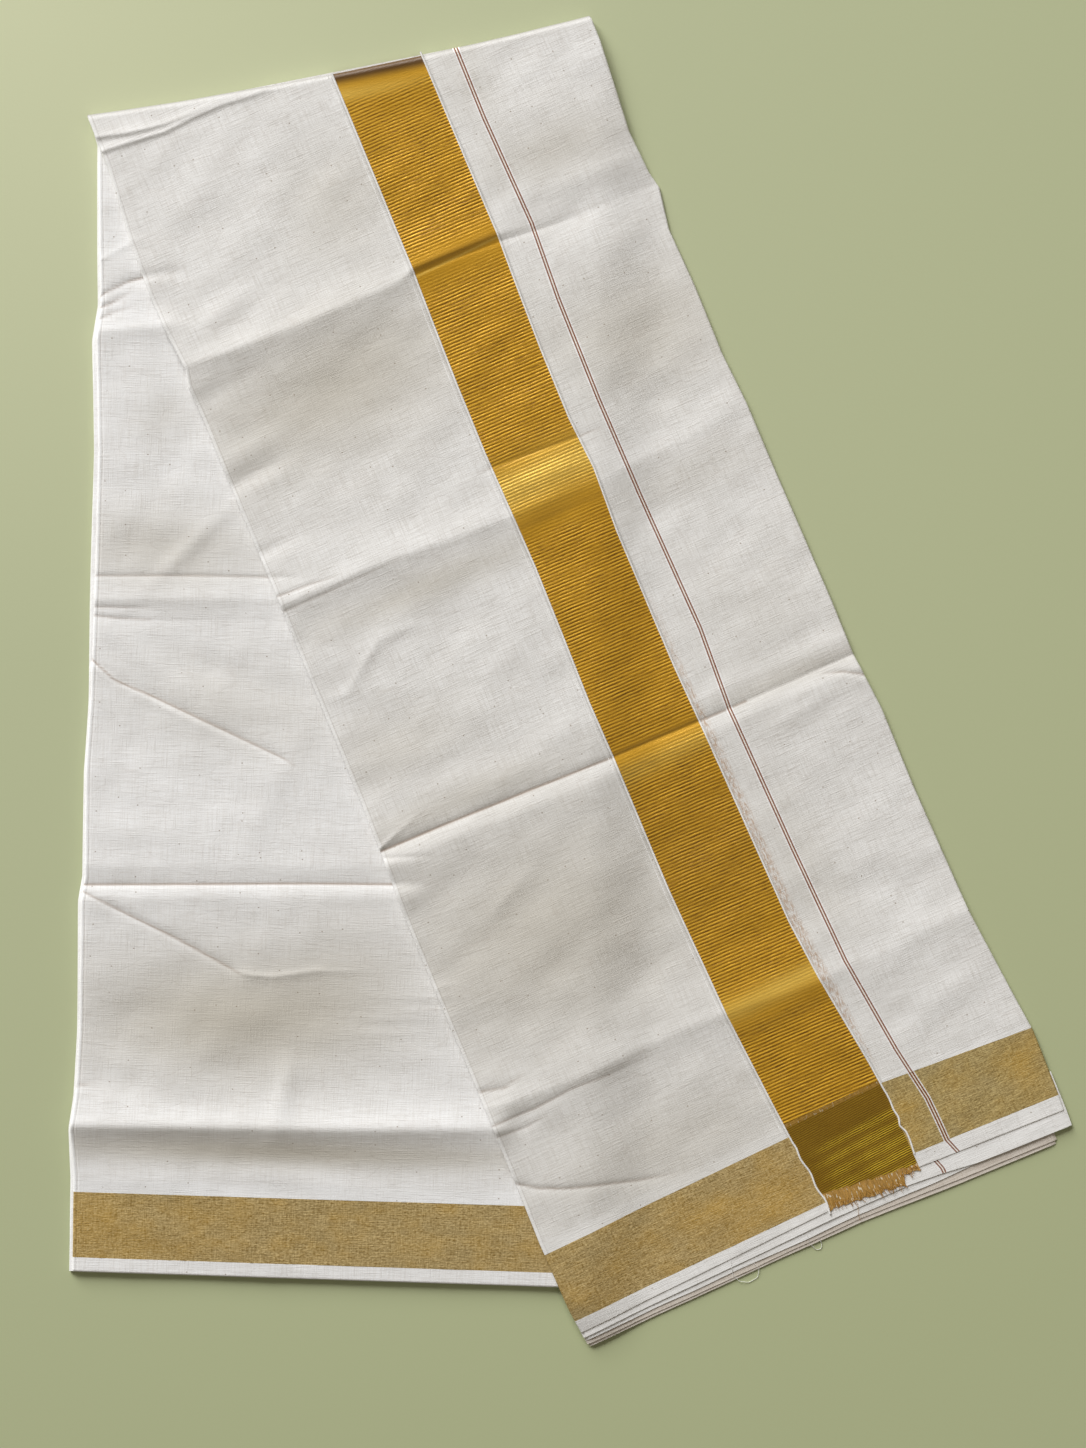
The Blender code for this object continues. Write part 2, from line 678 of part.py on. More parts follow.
def build_lower_leg():
    """Make every stretch of the lower leg's face, and the pile of layers under it."""
    half = SEAM / 2.0
    proud = LOWER_LAYER_PROUD
    face_columns = [
        (edge, out_move + proud, out_drop, in_move + proud, in_drop)
        for edge, out_move, out_drop, in_move, in_drop in edge_columns(1, 1.0)
    ]
    face_columns += flat_columns(1, 2, LOWER_CELLS, EDGE_RADIUS + proud, -EDGE_RADIUS)
    face_columns += edge_columns(2, -1.0)[::-1]
    rows = between(LOWER_ROWS)
    last = rows[-1]
    rows[-1] = [last[0] - half, last[1] - half, last[2]]
    lower_panel("lower_face", rows, face_columns, COTTON)
    band_start = (last[0] + half, last[1] + half)
    band_end = (LOWER_BAND_END[0] - half, LOWER_BAND_END[1] - half)
    band_rows = spaced(band_start, band_end, 2)
    turn_start = [v - EDGE_RADIUS for v in LOWER_CLOTH_END]
    heading_rows = spaced([v + SEAM for v in band_end], turn_start, 1)
    lower_panel("lower_band", band_rows, face_columns, TISSUE)
    lower_panel("lower_heading", heading_rows, face_columns, COTTON, end=True)

    pile_columns = [(1, EDGE_RADIUS + proud)]
    for k in range(1, LOWER_CELLS + 1):
        share = k / LOWER_CELLS
        move = EDGE_RADIUS + proud - (2.0 * EDGE_RADIUS + proud) * share
        pile_columns.append(((1, 2, share), move))
    pile_rows = [(row, 0.0) for row in between(LOWER_ROWS) + band_rows[1:] + [heading_rows[-1]]]
    turn = heading_rows[-1]
    for onward, under_top in LOWER_PILE_END:
        pile_rows.append(([turn[0] + onward, turn[1] + onward, 0.0], under_top))
    pile("lower_layers", build_lower_pile(pile_rows, pile_columns), COTTON)


def settle():
    """Move every body so that the cloth's box is centred on the origin and stands on zero."""
    bodies = [o for o in bpy.context.scene.objects if o.type == "MESH"]
    points = np.array([v.co for body in bodies for v in body.data.vertices])
    low, high = points.min(axis=0), points.max(axis=0)
    middle = (low + high) / 2.0
    for body in bodies:
        for vertex in body.data.vertices:
            vertex.co.x -= middle[0]
            vertex.co.y -= middle[1]
            vertex.co.z -= low[2]


def main():
    """Clear the scene and build the folded cloth."""
    for old in list(bpy.data.objects):
        bpy.data.objects.remove(old)
    build_upper_leg()
    build_lower_leg()
    settle()


main()
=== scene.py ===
"""The looks of a dhoti cloth of plain cotton with a wide zari border, folded and laid flat.

Metres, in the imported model's own frame: X to the right, Y away from the near end, Z up from the
surface that the cloth lies on. Each leg of the folded cloth has its own directions, along it from
the top fold and across it, and its tables are in millimetres, with a row for each section or fold.
"""

import logging
import math
from dataclasses import dataclass, field
from enum import Enum

import bpy
import numpy as np
from bpy.types import ID, Material, Node, NodeSocket, NodeTree, Object
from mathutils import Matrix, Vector


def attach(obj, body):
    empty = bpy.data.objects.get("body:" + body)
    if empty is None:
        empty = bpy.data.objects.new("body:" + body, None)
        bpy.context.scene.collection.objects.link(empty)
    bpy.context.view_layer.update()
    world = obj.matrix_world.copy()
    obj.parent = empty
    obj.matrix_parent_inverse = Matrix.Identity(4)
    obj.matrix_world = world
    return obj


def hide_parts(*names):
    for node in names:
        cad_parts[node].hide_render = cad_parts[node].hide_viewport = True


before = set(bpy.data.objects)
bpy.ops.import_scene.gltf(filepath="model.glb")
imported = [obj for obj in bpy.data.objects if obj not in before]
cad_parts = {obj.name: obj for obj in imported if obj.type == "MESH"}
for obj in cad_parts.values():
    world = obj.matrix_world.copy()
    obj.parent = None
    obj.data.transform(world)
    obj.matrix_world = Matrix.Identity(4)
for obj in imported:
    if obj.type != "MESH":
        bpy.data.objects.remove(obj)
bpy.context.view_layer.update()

LOG = logging.getLogger("dhoti")
MM = 0.001
Array = np.ndarray

# The folded cloth's layers, in millimetres, as the solids have them
LOWER_TOP = 5.1
UPPER_DEPTH = 3.9
LEG_CLEARANCE = 1.2
EDGE_RADIUS = 1.6
CLOTH = 0.5
# Where the upper leg starts to come down past the lower one, and how soon it is down
DROP_START = 6.0
DROP_WIDTH = 58.0
# How soon the lower leg's folds sink under the upper leg, and the share of them that is left
FADE_UNDER = 60.0
HIDDEN_RIDGE = 0.15
# How soon a crease fades past its ends
FADE_BEYOND = 26.0

# Across the upper leg at each station along it
UPPER_SECTIONS = (
    # station, left, gold_left, gold_right, right
    (-35, 1.3, 199, 272, 412.5),
    (14, 0.1, 199, 272, 412.5),
    (75, -7, 198.2, 271.8, 411.3),
    (124, -9.6, 197.5, 271.5, 406.8),
    (154, -9.1, 197, 271.4, 404),
    (190, -6.5, 196.5, 271.3, 406.1),
    (204, -10, 195.8, 270.5, 409),
    (239, -9.4, 194.5, 268.8, 402.7),
    (290, -10.3, 192.8, 266.8, 403.9),
    (350, -10.8, 191.8, 265.9, 402.6),
    (395, -11, 192.3, 268.5, 405),
    (450, -12.4, 192.9, 265.5, 404.8),
    (510, -13.1, 191.5, 265.4, 405),
    (570, -14, 189.8, 265.2, 405.3),
    (618, -15.4, 190.2, 266.4, 404.4),
    (669, -18, 189.8, 267.4, 408.2),
    (738, -19.1, 189.3, 268.4, 407.1),
    (800, -19.2, 191, 269.4, 407.8),
    (850, -19.7, 192.3, 273.5, 408.5),
    (931, -21.3, 198.2, 284, 415.5),
    (960, -22, 200.5, 286.8, 418.3),
    (1020, -21.4, 206.5, 288.2, 416.7),
    (1060, -18, 208.4, 288.2, 413.3),
)

# The middle of the double thread line on the upper leg
THREAD_LINE = (
    # station, across
    (-35, 301.5),
    (30, 300.1),
    (96, 298.8),
    (191, 300.7),
    (256, 296.4),
    (344, 294.3),
    (428, 294.8),
    (549, 297.2),
    (619, 293.2),
    (746, 295.9),
    (846, 299.2),
    (930, 308.9),
    (976, 316.7),
    (996, 317.5),
    (1014, 317.9),
    (1027, 322.6),
    (1034, 325),
)
# Half the width of that line
THREAD_HALF = 2.9
# How far to the left the same line lies on the layer below
UNDER_THREAD_SHIFT = 19.5

# Across the lower leg at each station along it, and how far its outer layer stands out at the left
LOWER_SECTIONS = (
    # station, left, right, proud
    (-40, -9, 401, 1.5),
    (-16, -1, 401.5, 1.5),
    (46, 1, 402.8, 2),
    (115, 4, 404.2, 2.2),
    (144, 0, 404.8, 4),
    (235, 4, 406.6, 4.4),
    (344, 5, 408.8, 4),
    (438, 6, 410.6, 2.2),
    (497, 4, 411.8, 2),
    (582, 6, 413.5, 2.2),
    (603, 3, 413.9, 2.8),
    (709, 5, 416, 2.4),
    (763, 4, 417, 2),
    (790, 1, 417.6, 2),
    (829, 4, 418.4, 2.6),
    (906, 5, 420, 3),
)

# Rows of each leg from the top fold to the woven band, and the spacing of the rows before each one
UPPER_ROWS = (
    # left_station, right_station, bow, spacing
    (-29, 58, 6, 1),
    (24, 96, 3, 1.4),
    (150, 166, 0, 2.8),
    (178, 182, 0, 2),
    (214, 214, 0, 1),
    (350, 360, 0, 2.6),
    (376, 380, 0, 1.8),
    (430, 434, 0, 1),
    (592, 598, 0, 2.6),
    (636, 636, 0, 1),
    (795, 800, 0, 2.8),
    (835, 835, 0, 2),
    (870, 870, 0, 1),
    (972, 956, 0, 1.6),
)
UPPER_BAND_START = (972.0, 956.0, 0.0)
UPPER_PILE_END = (1049.0, 1039.0, 0.0)
# The rows that each panel of the upper leg ends in, since the panels have slid past each other
PANEL_ROWS = {
    # left_station, right_station, bow
    ("left", "band_start"): (970.0, 951.8, 0.0),
    ("left", "band_end"): (1029.8, 1014.6, 0.0),
    ("left", "cloth_end"): (1040.7, 1018.3, 0.0),
    ("middle", "band_start"): (956.7, 943.2, 0.0),
    ("middle", "cloth_end"): (1005.9, 1048.2, 0.0),
    ("right", "band_start"): (933.5, 956.7, 0.0),
    ("right", "band_end"): (1006.8, 1016.0, 0.0),
    ("right", "cloth_end"): (1016.3, 1029.0, 0.0),
}
# How far round the top fold the face goes, in degrees, and in how many cells
FOLD_SPAN = 168.0
FOLD_CELLS = 14

LOWER_ROWS = (
    # left_station, right_station, bow, spacing
    (-33, -125, 6, 1),
    (30, -20, 3, 3),
    (90, 80, 0, 2.6),
    (165, 160, 0, 1.2),
    (320, 315, 0, 2.8),
    (388, 384, 0, 1.1),
    (505, 500, 0, 1.4),
    (575, 570, 0, 2.4),
    (602, 598, 0, 1),
    (672, 668, 0, 1.4),
    (755, 748, 0, 2),
    (841, 841, 0, 2),
)
LOWER_BAND_START = (841.0, 841.0, 0.0)
LOWER_BAND_END = (894.5, 895.0, 0.0)
LOWER_CLOTH_END = (906.5, 907.0, 0.0)
# Where the closely woven strip above the lower band starts, and how soon it is at its full share
LOWER_DENSE = (829.0, 3.0)
# How far from the left edge the lower leg's outer layer stands out
PROUD_WIDTH = 60.0

# The cut ends of the layers under the upper leg, and the rows that they start from
LAYER_ENDS = {
    # layer: rows of across and station
    "second_layer_end": (
        (-20, 1045.5), (100, 1041), (190, 1037.5), (240, 1036), (274, 1035.6), (302, 1037.6), (334, 1041),
        (413, 1043.2),
    ),
    "third_layer_end": (
        (-20, 1048.5), (120, 1044.8), (229, 1042.2), (295, 1042.4), (334, 1041.2), (400, 1040),
    ),
    "fourth_layer_end": ((-20, 1052), (120, 1048.6), (226, 1045.8), (300, 1047.5), (400, 1049.4)),
    "fifth_layer_end": ((-20, 1054.4), (120, 1051.2), (226, 1048.4), (300, 1051.2), (400, 1052.6)),
}
LAYER_START = (1012.0, 996.0, 0.0)
LAYER_LAST = (1040.0, 1030.0, 0.0)
# The deeper layer ends, where pale is low, take the darker copy of the cotton: painted shade
LAYER_LOOKS = (
    # layer, left_inset, right_inset, below_the_face, pale
    ("second_layer_end", 0.4, -1.0, 0.6, 1.0),
    ("third_layer_end", 2.0, 6.0, 1.4, 1.0),
    ("fourth_layer_end", 1.0, 15.0, 2.1, 0.2),
    ("fifth_layer_end", 2.5, 17.0, 2.7, 0.2),
)
# Where the border's raw end is cut back, and how far
CUT_BACK_FROM = 272.5
CUT_BACK = 8.2
# The upper leg's width near its end, and where its left edge lies there
UPPER_WIDTH = 430.0
UPPER_CLOTH_LEFT = -20.0

# Where the tissue shows more yellow, in a leg's own places
UPPER_YELLOW = (
    # across, along, across_size, along_size, turn, share
    (30, 1006, 36, 14, 0, 0.25),
    (110, 990, 40, 12, 0, 0.45),
    (150, 1014, 36, 10, 0, 0.55),
    (180, 996, 22, 16, 0, 0.55),
    (296, 985, 12, 22, 0, 0.40),
    (398, 985, 14, 22, 0, 0.55),
)
LOWER_YELLOW = (
    # across, along, across_size, along_size, turn, share
    (20, 860, 34, 26, 0, 0.45),
    (60, 884, 40, 14, 0, 0.35),
    (130, 856, 30, 14, 0, 0.25),
)

# Bright clusters of ribs where the border crosses the bands, with painted highlights on their crests
RIB_CLUSTERS = (
    # share_across, station, half_depth, strength
    (0.45, 979, 3, 0.7),
    (0.45, 990, 3.4, 0.9),
    (0.50, 1001, 3.6, 1),
    (0.50, 1012, 3.6, 1),
    (0.60, 1022, 3, 0.8),
)
# How far the clusters slant across the border, how far apart their ribs are, and how deep the raw end is
CLUSTER_SLANT = -7.0
CROSSING_RIB = 1.7
RAW_DEPTH = 14.0

# The open weave beside the border: how far to its right the middle lies, and half its width
OPEN_WEAVE_AT = 4.0
OPEN_WEAVE = (
    # station, half_width
    (440, 0),
    (560, 3),
    (700, 6),
    (860, 6.5),
    (950, 0),
)

# Loose threads at the cut ends, each row a point
LOOSE_THREADS = (
    (
        # station, across, height
        (1035, 116, 3.6),
        (1047, 113, 2.6),
        (1054, 116, 1.2),
        (1058, 123, 0.4),
        (1057, 131, 0.4),
        (1051, 135, 1.2),
        (1045, 133, 2.4),
    ),
    (
        (1040, 182, 3.2),
        (1049, 181.5, 1.6),
        (1055, 184, 0.5),
        (1056, 188, 0.4),
        (1052, 190.5, 0.8),
        (1045, 189.5, 2.2),
    ),
)
BROWN_THREAD = (
    # station, across, height
    (1031, 230, 4.3),
    (1036, 229.2, 4.1),
    (1041, 227.4, 3.6),
    (1047, 226.5, 2.9),
)
# How far the right cord strays from the border's edge
RIGHT_CORD = (
    # station, stray
    (955, 0.3),
    (966, 0.9),
    (974, 0.3),
    (982, 1.7),
    (988, -0.6),
    (995, 2.4),
    (1003, 2.2),
    (1013, 1),
    (1022, 1.6),
)

# Creases of the upper leg: a ridge, or a groove where the height is below nothing. The two widths
# are how fast it fades towards the top fold and towards the band, and crest rounds its top.
UPPER_CREASES = {
    # fold: rows of across, along, height, above, below and crest
    "terrace_one": (
        (-4, -14.5, 1.5, 9, 1.4, 0.4), (28, -6, 1.5, 9, 1.4, 0.4), (56, -1.5, 1.2, 8, 1.4, 0.4),
        (82, -1.2, 0.8, 6, 1.6, 0.4), (130, -1.4, 0, 6, 1.6, 0.4),
    ),
    "terrace_two": (
        (-6, -1.5, 1.2, 6, 1.2, 0.4), (26, 1.4, 1.3, 5, 1.2, 0.4), (54, 4.5, 1.3, 4, 1.2, 0.4),
        (80, 2.6, 1.2, 4, 1.2, 0.4), (107, 2.4, 1.1, 4, 1.3, 0.4), (133, 5.4, 0.8, 4, 1.4, 0.4),
        (166, 7.8, 0, 4, 1.4, 0.4),
    ),
    "first_packing_fold": (
        (-12, 186.5, 3, 20, 17, 2.6), (30, 190, 3.8, 20, 20, 2.6), (80, 192, 4, 20, 22, 2.8),
        (130, 193, 3.6, 20, 20, 2.8), (176, 192.5, 2.8, 19, 15, 2.4), (189, 190.5, 2.3, 17, 10, 1.8),
        (197, 186.5, 1.9, 16, 4.4, 1.4), (234, 187, 1.6, 14, 3.6, 1.2), (272, 188, 1.1, 12, 4, 1.2),
        (300, 190, 0, 14, 6, 2),
    ),
    "first_fold_groove": (
        (190, 193, 0, 2, 1.6, 0.6), (198, 192.3, -0.45, 2, 1.2, 0.6), (234, 193, -0.5, 2, 1.2, 0.6),
        (272, 194.5, -0.6, 3, 2, 0.6), (305, 198, -0.6, 4, 3, 0.8), (340, 200, 0, 5, 4, 1),
    ),
    "first_fold_valley": (
        (262, 196, 0, 26, 14, 2.5), (305, 198, -1.3, 26, 14, 2.5), (358, 200, -1.9, 28, 16, 2.5),
        (408, 199, -1.5, 28, 18, 2.5),
    ),
    "second_packing_fold": (
        (-12, 397, 2.6, 24, 12, 2), (20, 397, 3.2, 24, 13, 2.4), (60, 397.5, 3.6, 24, 15, 3),
        (98, 399, 3.4, 23, 17, 3.2), (150, 402, 2.8, 22, 18, 3.4), (190, 404, 2.2, 20, 12, 3),
        (234, 405, 1.9, 20, 9, 3), (272, 406, 1.3, 18, 14, 3), (340, 402, 1.1, 20, 20, 3.5),
        (404, 396, 0.8, 20, 20, 3.5),
    ),
    "second_fold_line": (
        (-14, 403, -0.4, 1.6, 3, 0.4), (30, 402.6, -0.35, 1.6, 3, 0.4), (76, 400.8, -0.2, 1.6, 3, 0.4),
        (104, 401, 0, 2, 4, 0.6),
    ),
    "second_fold_upper_line": (
        (-12, 389.5, -0.6, 1.6, 3, 0.4), (20, 391, -0.5, 1.6, 3, 0.4), (46, 393.8, 0, 2, 4, 0.6),
    ),
    "second_fold_gold_line": (
        (176, 361, 0, 3, 3, 0.5), (196, 362, -0.7, 3, 2.4, 0.5), (234, 364, -0.8, 3, 2.4, 0.5),
        (267, 366, -0.5, 3, 3, 0.5), (292, 367, 0, 3, 3, 0.5),
    ),
    "third_packing_fold": (
        (-16, 614, -1.7, 3.6, 4.4, 0.5), (46, 614.5, -1.6, 3.6, 4.6, 0.5),
        (117, 616, -1.3, 3.6, 4.6, 0.5), (190, 618, -1.2, 3.4, 4, 0.5), (267, 619, -1.1, 3.4, 4, 0.5),
        (348, 618.5, -1, 4, 5, 0.6), (404, 618, -1.3, 4, 5, 0.6),
    ),
    "third_fold_swell": (
        (-16, 627, 2.2, 12, 30, 4), (117, 630, 1.9, 12, 30, 4), (267, 632, 1.5, 12, 26, 4),
        (404, 631, 1.9, 12, 28, 4),
    ),
    "third_fold_shoulder": (
        (-16, 598, 0.9, 28, 14, 4), (190, 600, 0.8, 26, 12, 4), (404, 602, 0.8, 26, 12, 4),
    ),
    "fourth_packing_fold": (
        (-19, 840, 1.8, 20, 12, 2.4), (0, 844, 2.2, 20, 12, 2.6), (57, 847, 2.4, 22, 14, 3.2),
        (96, 847, 2.5, 22, 16, 3.6), (150, 845, 2.6, 22, 17, 4), (191, 846, 2.5, 20, 14, 3.5),
        (232, 850, 2.3, 18, 12, 3), (269, 853, 2.1, 18, 14, 3.5), (340, 851, 1.5, 20, 24, 4),
        (408, 846, 1.4, 18, 24, 4),
    ),
    "fourth_fold_groove": (
        (-15, 856, -0.6, 2, 4, 0.4), (18, 856.5, -0.7, 2, 4, 0.4), (54, 853.5, -0.5, 2, 4, 0.4),
        (94, 856, -0.4, 3, 4, 0.6), (132, 854, 0, 4, 5, 0.8),
    ),
    "crumple_high": ((-19, 826, -0.8, 2, 3, 0.4), (2, 831, -0.7, 2, 3, 0.4), (22, 827, 0, 2, 3, 0.4)),
    "crumple_low": ((-19, 866, -0.5, 2, 3, 0.4), (8, 868, -0.4, 2, 3, 0.4), (30, 864, 0, 2, 3, 0.4)),
    "dark_line": (
        (-22, 906, -0.8, 1.6, 3.2, 0.35), (-4, 918, -0.9, 1.6, 3.2, 0.35),
        (19, 928, -0.8, 1.6, 3.2, 0.35), (74, 945, -0.7, 1.6, 3.2, 0.35), (107, 952, 0, 1.6, 3.2, 0.35),
    ),
    "curl": (
        (12, 484, 0.7, 4, 4, 1), (33, 468, 0.8, 4, 4, 1), (52, 455, 0.7, 4, 4, 1),
        (79, 455, 0.6, 5, 5, 1), (108, 459, 0, 5, 5, 1),
    ),
    "pucker": ((-15, 612, 0.9, 2.4, 2.4, 0.6), (1, 606, 0.7, 2.4, 2.4, 0.6), (26, 599, 0, 3, 3, 0.6)),
    "pucker_low": ((-15, 620, -0.7, 2, 2, 0.6), (4, 627, -0.6, 2.4, 2.4, 0.6), (28, 636, 0, 3, 3, 0.6)),
    "right_curl": ((372, 622, 0, 2, 2, 0.4), (391, 628, -0.8, 2, 2, 0.4), (406, 637, -0.9, 2, 2, 0.4)),
    "faint_ridge": ((296, 648, 0, 5, 7, 1.5), (330, 645, 0.6, 5, 7, 1.5), (396, 640, 0.5, 5, 7, 1.5)),
    "faint_diagonal": ((30, 704, 0, 6, 6, 1.5), (62, 690, 0.7, 6, 6, 1.5), (106, 670, 0, 6, 6, 1.5)),
}

# Creases of the lower leg, in the same columns
LOWER_CREASES = {
    # fold: rows of across, along, height, above, below and crest
    "first_crumple": (
        (2, 111, -0.8, 2.2, 3.6, 0.4), (11, 104, -0.8, 2.2, 3.6, 0.4), (28, 95, -0.9, 2.4, 4, 0.4),
        (43, 90.6, -1.3, 3, 4.4, 0.4), (62, 87, -1.2, 3, 4.4, 0.4),
    ),
    "second_crumple": (
        (2, 119, -0.8, 2, 3, 0.4), (15, 113, -0.8, 2, 3, 0.4), (34, 102, 0, 2.4, 3.6, 0.4),
    ),
    "third_crumple": ((3, 128, -0.5, 2, 3, 0.4), (16, 121, -0.5, 2, 3, 0.4), (40, 113, 0, 2, 3, 0.4)),
    "faint_line": ((2, 80, 0.5, 2.4, 2.4, 0.5), (32, 62, 0.5, 2.4, 2.4, 0.5)),
    "upper_step": ((-2, 138, 2, 8, 16, 3), (66, 130, 1.6, 8, 16, 3)),
    "double_fold_line": (
        (2, 336.5, -0.6, 1.6, 3, 0.4), (94, 333.5, -0.6, 1.6, 3, 0.4), (160, 333, -0.5, 1.6, 3, 0.4),
    ),
    "double_fold_high": (
        (2, 356, 1.2, 12, 7, 2), (46, 354.5, 1, 12, 7, 2), (95, 352, 0.7, 12, 8, 2.4),
        (150, 352, 0.5, 12, 9, 2.4),
    ),
    "double_fold_mid": (
        (2, 362, -0.6, 1.4, 2.4, 0.35), (34, 361.5, -0.5, 1.4, 2.4, 0.35), (62, 361, 0, 1.6, 2.4, 0.35),
    ),
    "double_fold_low": (
        (2, 368.5, -0.7, 1.6, 5, 0.4), (30, 370.5, -0.6, 1.6, 5, 0.4), (66, 371, -0.3, 2, 6, 0.6),
        (150, 369, -0.2, 4, 8, 1.2),
    ),
    "pinch_high": (
        (5, 402, -1.2, 5, 2, 0.35), (27, 421, -1.1, 5, 2, 0.35), (65, 436, -1.1, 4, 2, 0.35),
        (127, 463, -1, 3, 2.4, 0.35), (166, 480, -0.9, 3, 2.4, 0.35), (181, 489, 0, 3, 2.4, 0.35),
    ),
    "pinch_high_ridge": ((5, 408, 0.5, 2, 6, 1), (70, 443, 0.6, 2, 6, 1), (140, 474, 0, 2, 6, 1)),
    "middle_fold": (
        (4, 589.5, -1.5, 6, 2.6, 0.4), (102, 586, -1.4, 6, 2.6, 0.4), (184, 583, -1.3, 6, 2.6, 0.4),
        (270, 581, -1.3, 6, 2.6, 0.4),
    ),
    "middle_swell": ((4, 601, 1.8, 9, 24, 4), (120, 597, 1.6, 9, 24, 4), (270, 592, 1.5, 9, 24, 4)),
    "middle_shoulder": ((4, 574, 0.9, 22, 10, 3), (270, 566, 0.9, 22, 10, 3)),
    "pinch_low": (
        (5, 594, -0.8, 2.4, 2.4, 0.35), (37, 609, -1.1, 2.8, 2.4, 0.35), (87, 632, -1.1, 2.8, 2.4, 0.35),
        (128, 653, -0.9, 2.4, 2.4, 0.35), (142, 661, 0, 2.4, 2.4, 0.35),
    ),
    "pinch_low_ridge": (
        (128, 655, 0, 2, 3, 0.5), (145, 659, 0.9, 2, 3, 0.5), (165, 660, 0.9, 2, 3, 0.5),
        (199, 654, 0.8, 2, 3, 0.5), (236, 652, 0, 2, 3, 0.5),
    ),
    "short_diagonal_one": (
        (240, 709, 0, 4.2, 4.2, 1.4), (254, 697, 0.9, 4.2, 4.2, 1.4), (272, 682, 0.9, 4.2, 4.2, 1.4),
        (304, 663, 0.8, 4.2, 4.2, 1.4),
    ),
    "short_diagonal_two": (
        (248, 713, 0, 4.2, 4.2, 1.4), (262, 703, 0.8, 4.2, 4.2, 1.4), (280, 689, 0.9, 4.2, 4.2, 1.4),
        (306, 671, 0.7, 4.2, 4.2, 1.4),
    ),
    "low_ridge": (
        (-1, 786, 6, 17, 11, 4), (108, 784, 6.2, 17, 11, 4), (231, 782, 5.8, 16, 12, 4),
        (350, 778, 5, 16, 12, 4),
    ),
    "small_notch": ((0, 756, -0.9, 2, 2, 0.5), (12, 753, -0.4, 2, 2, 0.5), (30, 748, 0, 3, 3, 0.5)),
}

# Soft buckles of each leg: long, rounded swellings, and hollows where the height is below nothing
UPPER_BUCKLES = (
    # across, along, length, width, turn, height
    (40, 158, 42, 11, -14, 1),
    (17, 216, 36, 9, -6, -0.9),
    (20, 270, 34, 9, -8, 0.7),
    (13, 290, 32, 7, -5, -1.1),
    (0, 352, 24, 6, -3, -0.9),
    (70, 120, 55, 16, -35, 0.6),
    (140, 90, 60, 18, -60, -0.6),
    (60, 62, 45, 12, -20, 0.5),
    (100, 250, 70, 22, -10, -0.8),
    (150, 320, 70, 20, -30, 0.6),
    (40, 330, 40, 12, 10, 0.5),
    (90, 440, 60, 16, -14, 0.6),
    (20, 520, 60, 20, 20, -0.5),
    (120, 520, 80, 24, -40, 0.7),
    (60, 570, 60, 14, 6, -0.7),
    (150, 585, 50, 14, -8, 0.5),
    (20, 668, 50, 14, -10, -0.6),
    (110, 720, 80, 20, -24, 0.7),
    (20, 760, 60, 18, 12, 0.5),
    (130, 790, 70, 18, -10, -0.8),
    (60, 890, 60, 14, 14, -0.7),
    (150, 900, 60, 16, -12, 0.6),
    (232, 120, 34, 20, 4, 0.5),
    (232, 290, 34, 22, -6, -0.5),
    (228, 385, 34, 8, 0, 0.7),
    (232, 500, 34, 24, 8, 0.5),
    (232, 700, 34, 26, 4, -0.5),
    (236, 800, 34, 12, 0, -0.6),
    (350, 110, 50, 20, 20, 0.5),
    (345, 172, 70, 9, 3, 0.5),
    (355, 270, 60, 16, -18, -0.6),
    (345, 340, 50, 14, 30, 0.6),
    (370, 470, 50, 18, -30, -0.6),
    (340, 540, 60, 20, 16, 0.6),
    (360, 590, 60, 10, 0, -0.6),
    (350, 720, 60, 20, -20, -0.6),
    (340, 800, 60, 14, 8, -0.7),
    (370, 900, 50, 14, -18, 0.6),
)
LOWER_BUCKLES = (
    # across, along, length, width, turn, height
    (86, 310, 52, 7, -46, 1),
    (177, 750, 27, 9, -82, 1.6),
    (44, 180, 30, 14, 80, 0.7),
    (70, 240, 46, 14, -60, -0.7),
    (30, 290, 30, 12, -50, 0.6),
    (110, 352, 50, 9, -4, 0.7),
    (40, 396, 46, 9, 36, 0.8),
    (110, 405, 60, 14, 20, -0.7),
    (60, 480, 60, 18, 24, -0.8),
    (150, 520, 60, 16, -70, 0.5),
    (230, 540, 50, 18, -80, -0.5),
    (50, 545, 60, 16, 6, 0.8),
    (20, 640, 30, 18, 70, 0.9),
    (60, 690, 60, 20, -36, -1.1),
    (120, 716, 70, 18, -38, 0.9),
    (190, 690, 60, 18, 10, -0.7),
    (210, 620, 60, 16, 0, 0.7),
    (270, 740, 60, 18, 20, -0.6),
    (40, 750, 50, 14, 14, -0.7),
    (200, 826, 80, 9, 4, 0.6),
    (60, 830, 60, 8, -4, 0.5),
)

# Beige patches: painted shade in the hollows between and below folds, and partly the cloth's own uneven
# tone, where it has aged or more layers of it show through
UPPER_TONE_AND_SHADE = (
    # across, along, length, width, turn, share
    (104, 250, 120, 56, -4, 0.72),
    (165, 112, 52, 46, -20, 0.40),
    (110, 430, 100, 14, 0, 0.50),
    (60, 600, 90, 14, 0, 0.35),
    (88, 730, 150, 96, 0, 0.66),
    (30, 540, 60, 30, 0, 0.35),
    (110, 930, 130, 50, 0, 0.45),
    (345, 142, 60, 26, 0, 0.45),
    (350, 306, 80, 54, 0, 0.55),
    (300, 60, 26, 60, 0, 0.25),
    (340, 430, 70, 20, 0, 0.25),
    (350, 614, 70, 10, 0, 0.30),
    (345, 560, 80, 70, 0, 0.18),
    (300, 770, 26, 70, 0, 0.25),
)
LOWER_TONE_AND_SHADE = (
    # across, along, length, width, turn, share
    (130, 695, 130, 56, 0, 0.85),
    (130, 440, 90, 40, 10, 0.30),
    (180, 803, 230, 14, 0, 0.85),
    (230, 650, 60, 60, 0, 0.30),
    (60, 312, 80, 36, 0, 0.50),
    (60, 205, 26, 26, 0, 0.25),
)
# How deep a crease must be for its painted shade to be full, how sharp it must be, and the half width and
# share of that painted shade
PAINTED_SHADE_DEPTH = 1.3
PAINTED_SHADE_CREST = 0.55
PAINTED_SHADE_HALF = 1.0
PAINTED_SHADE_SHARE = 0.72
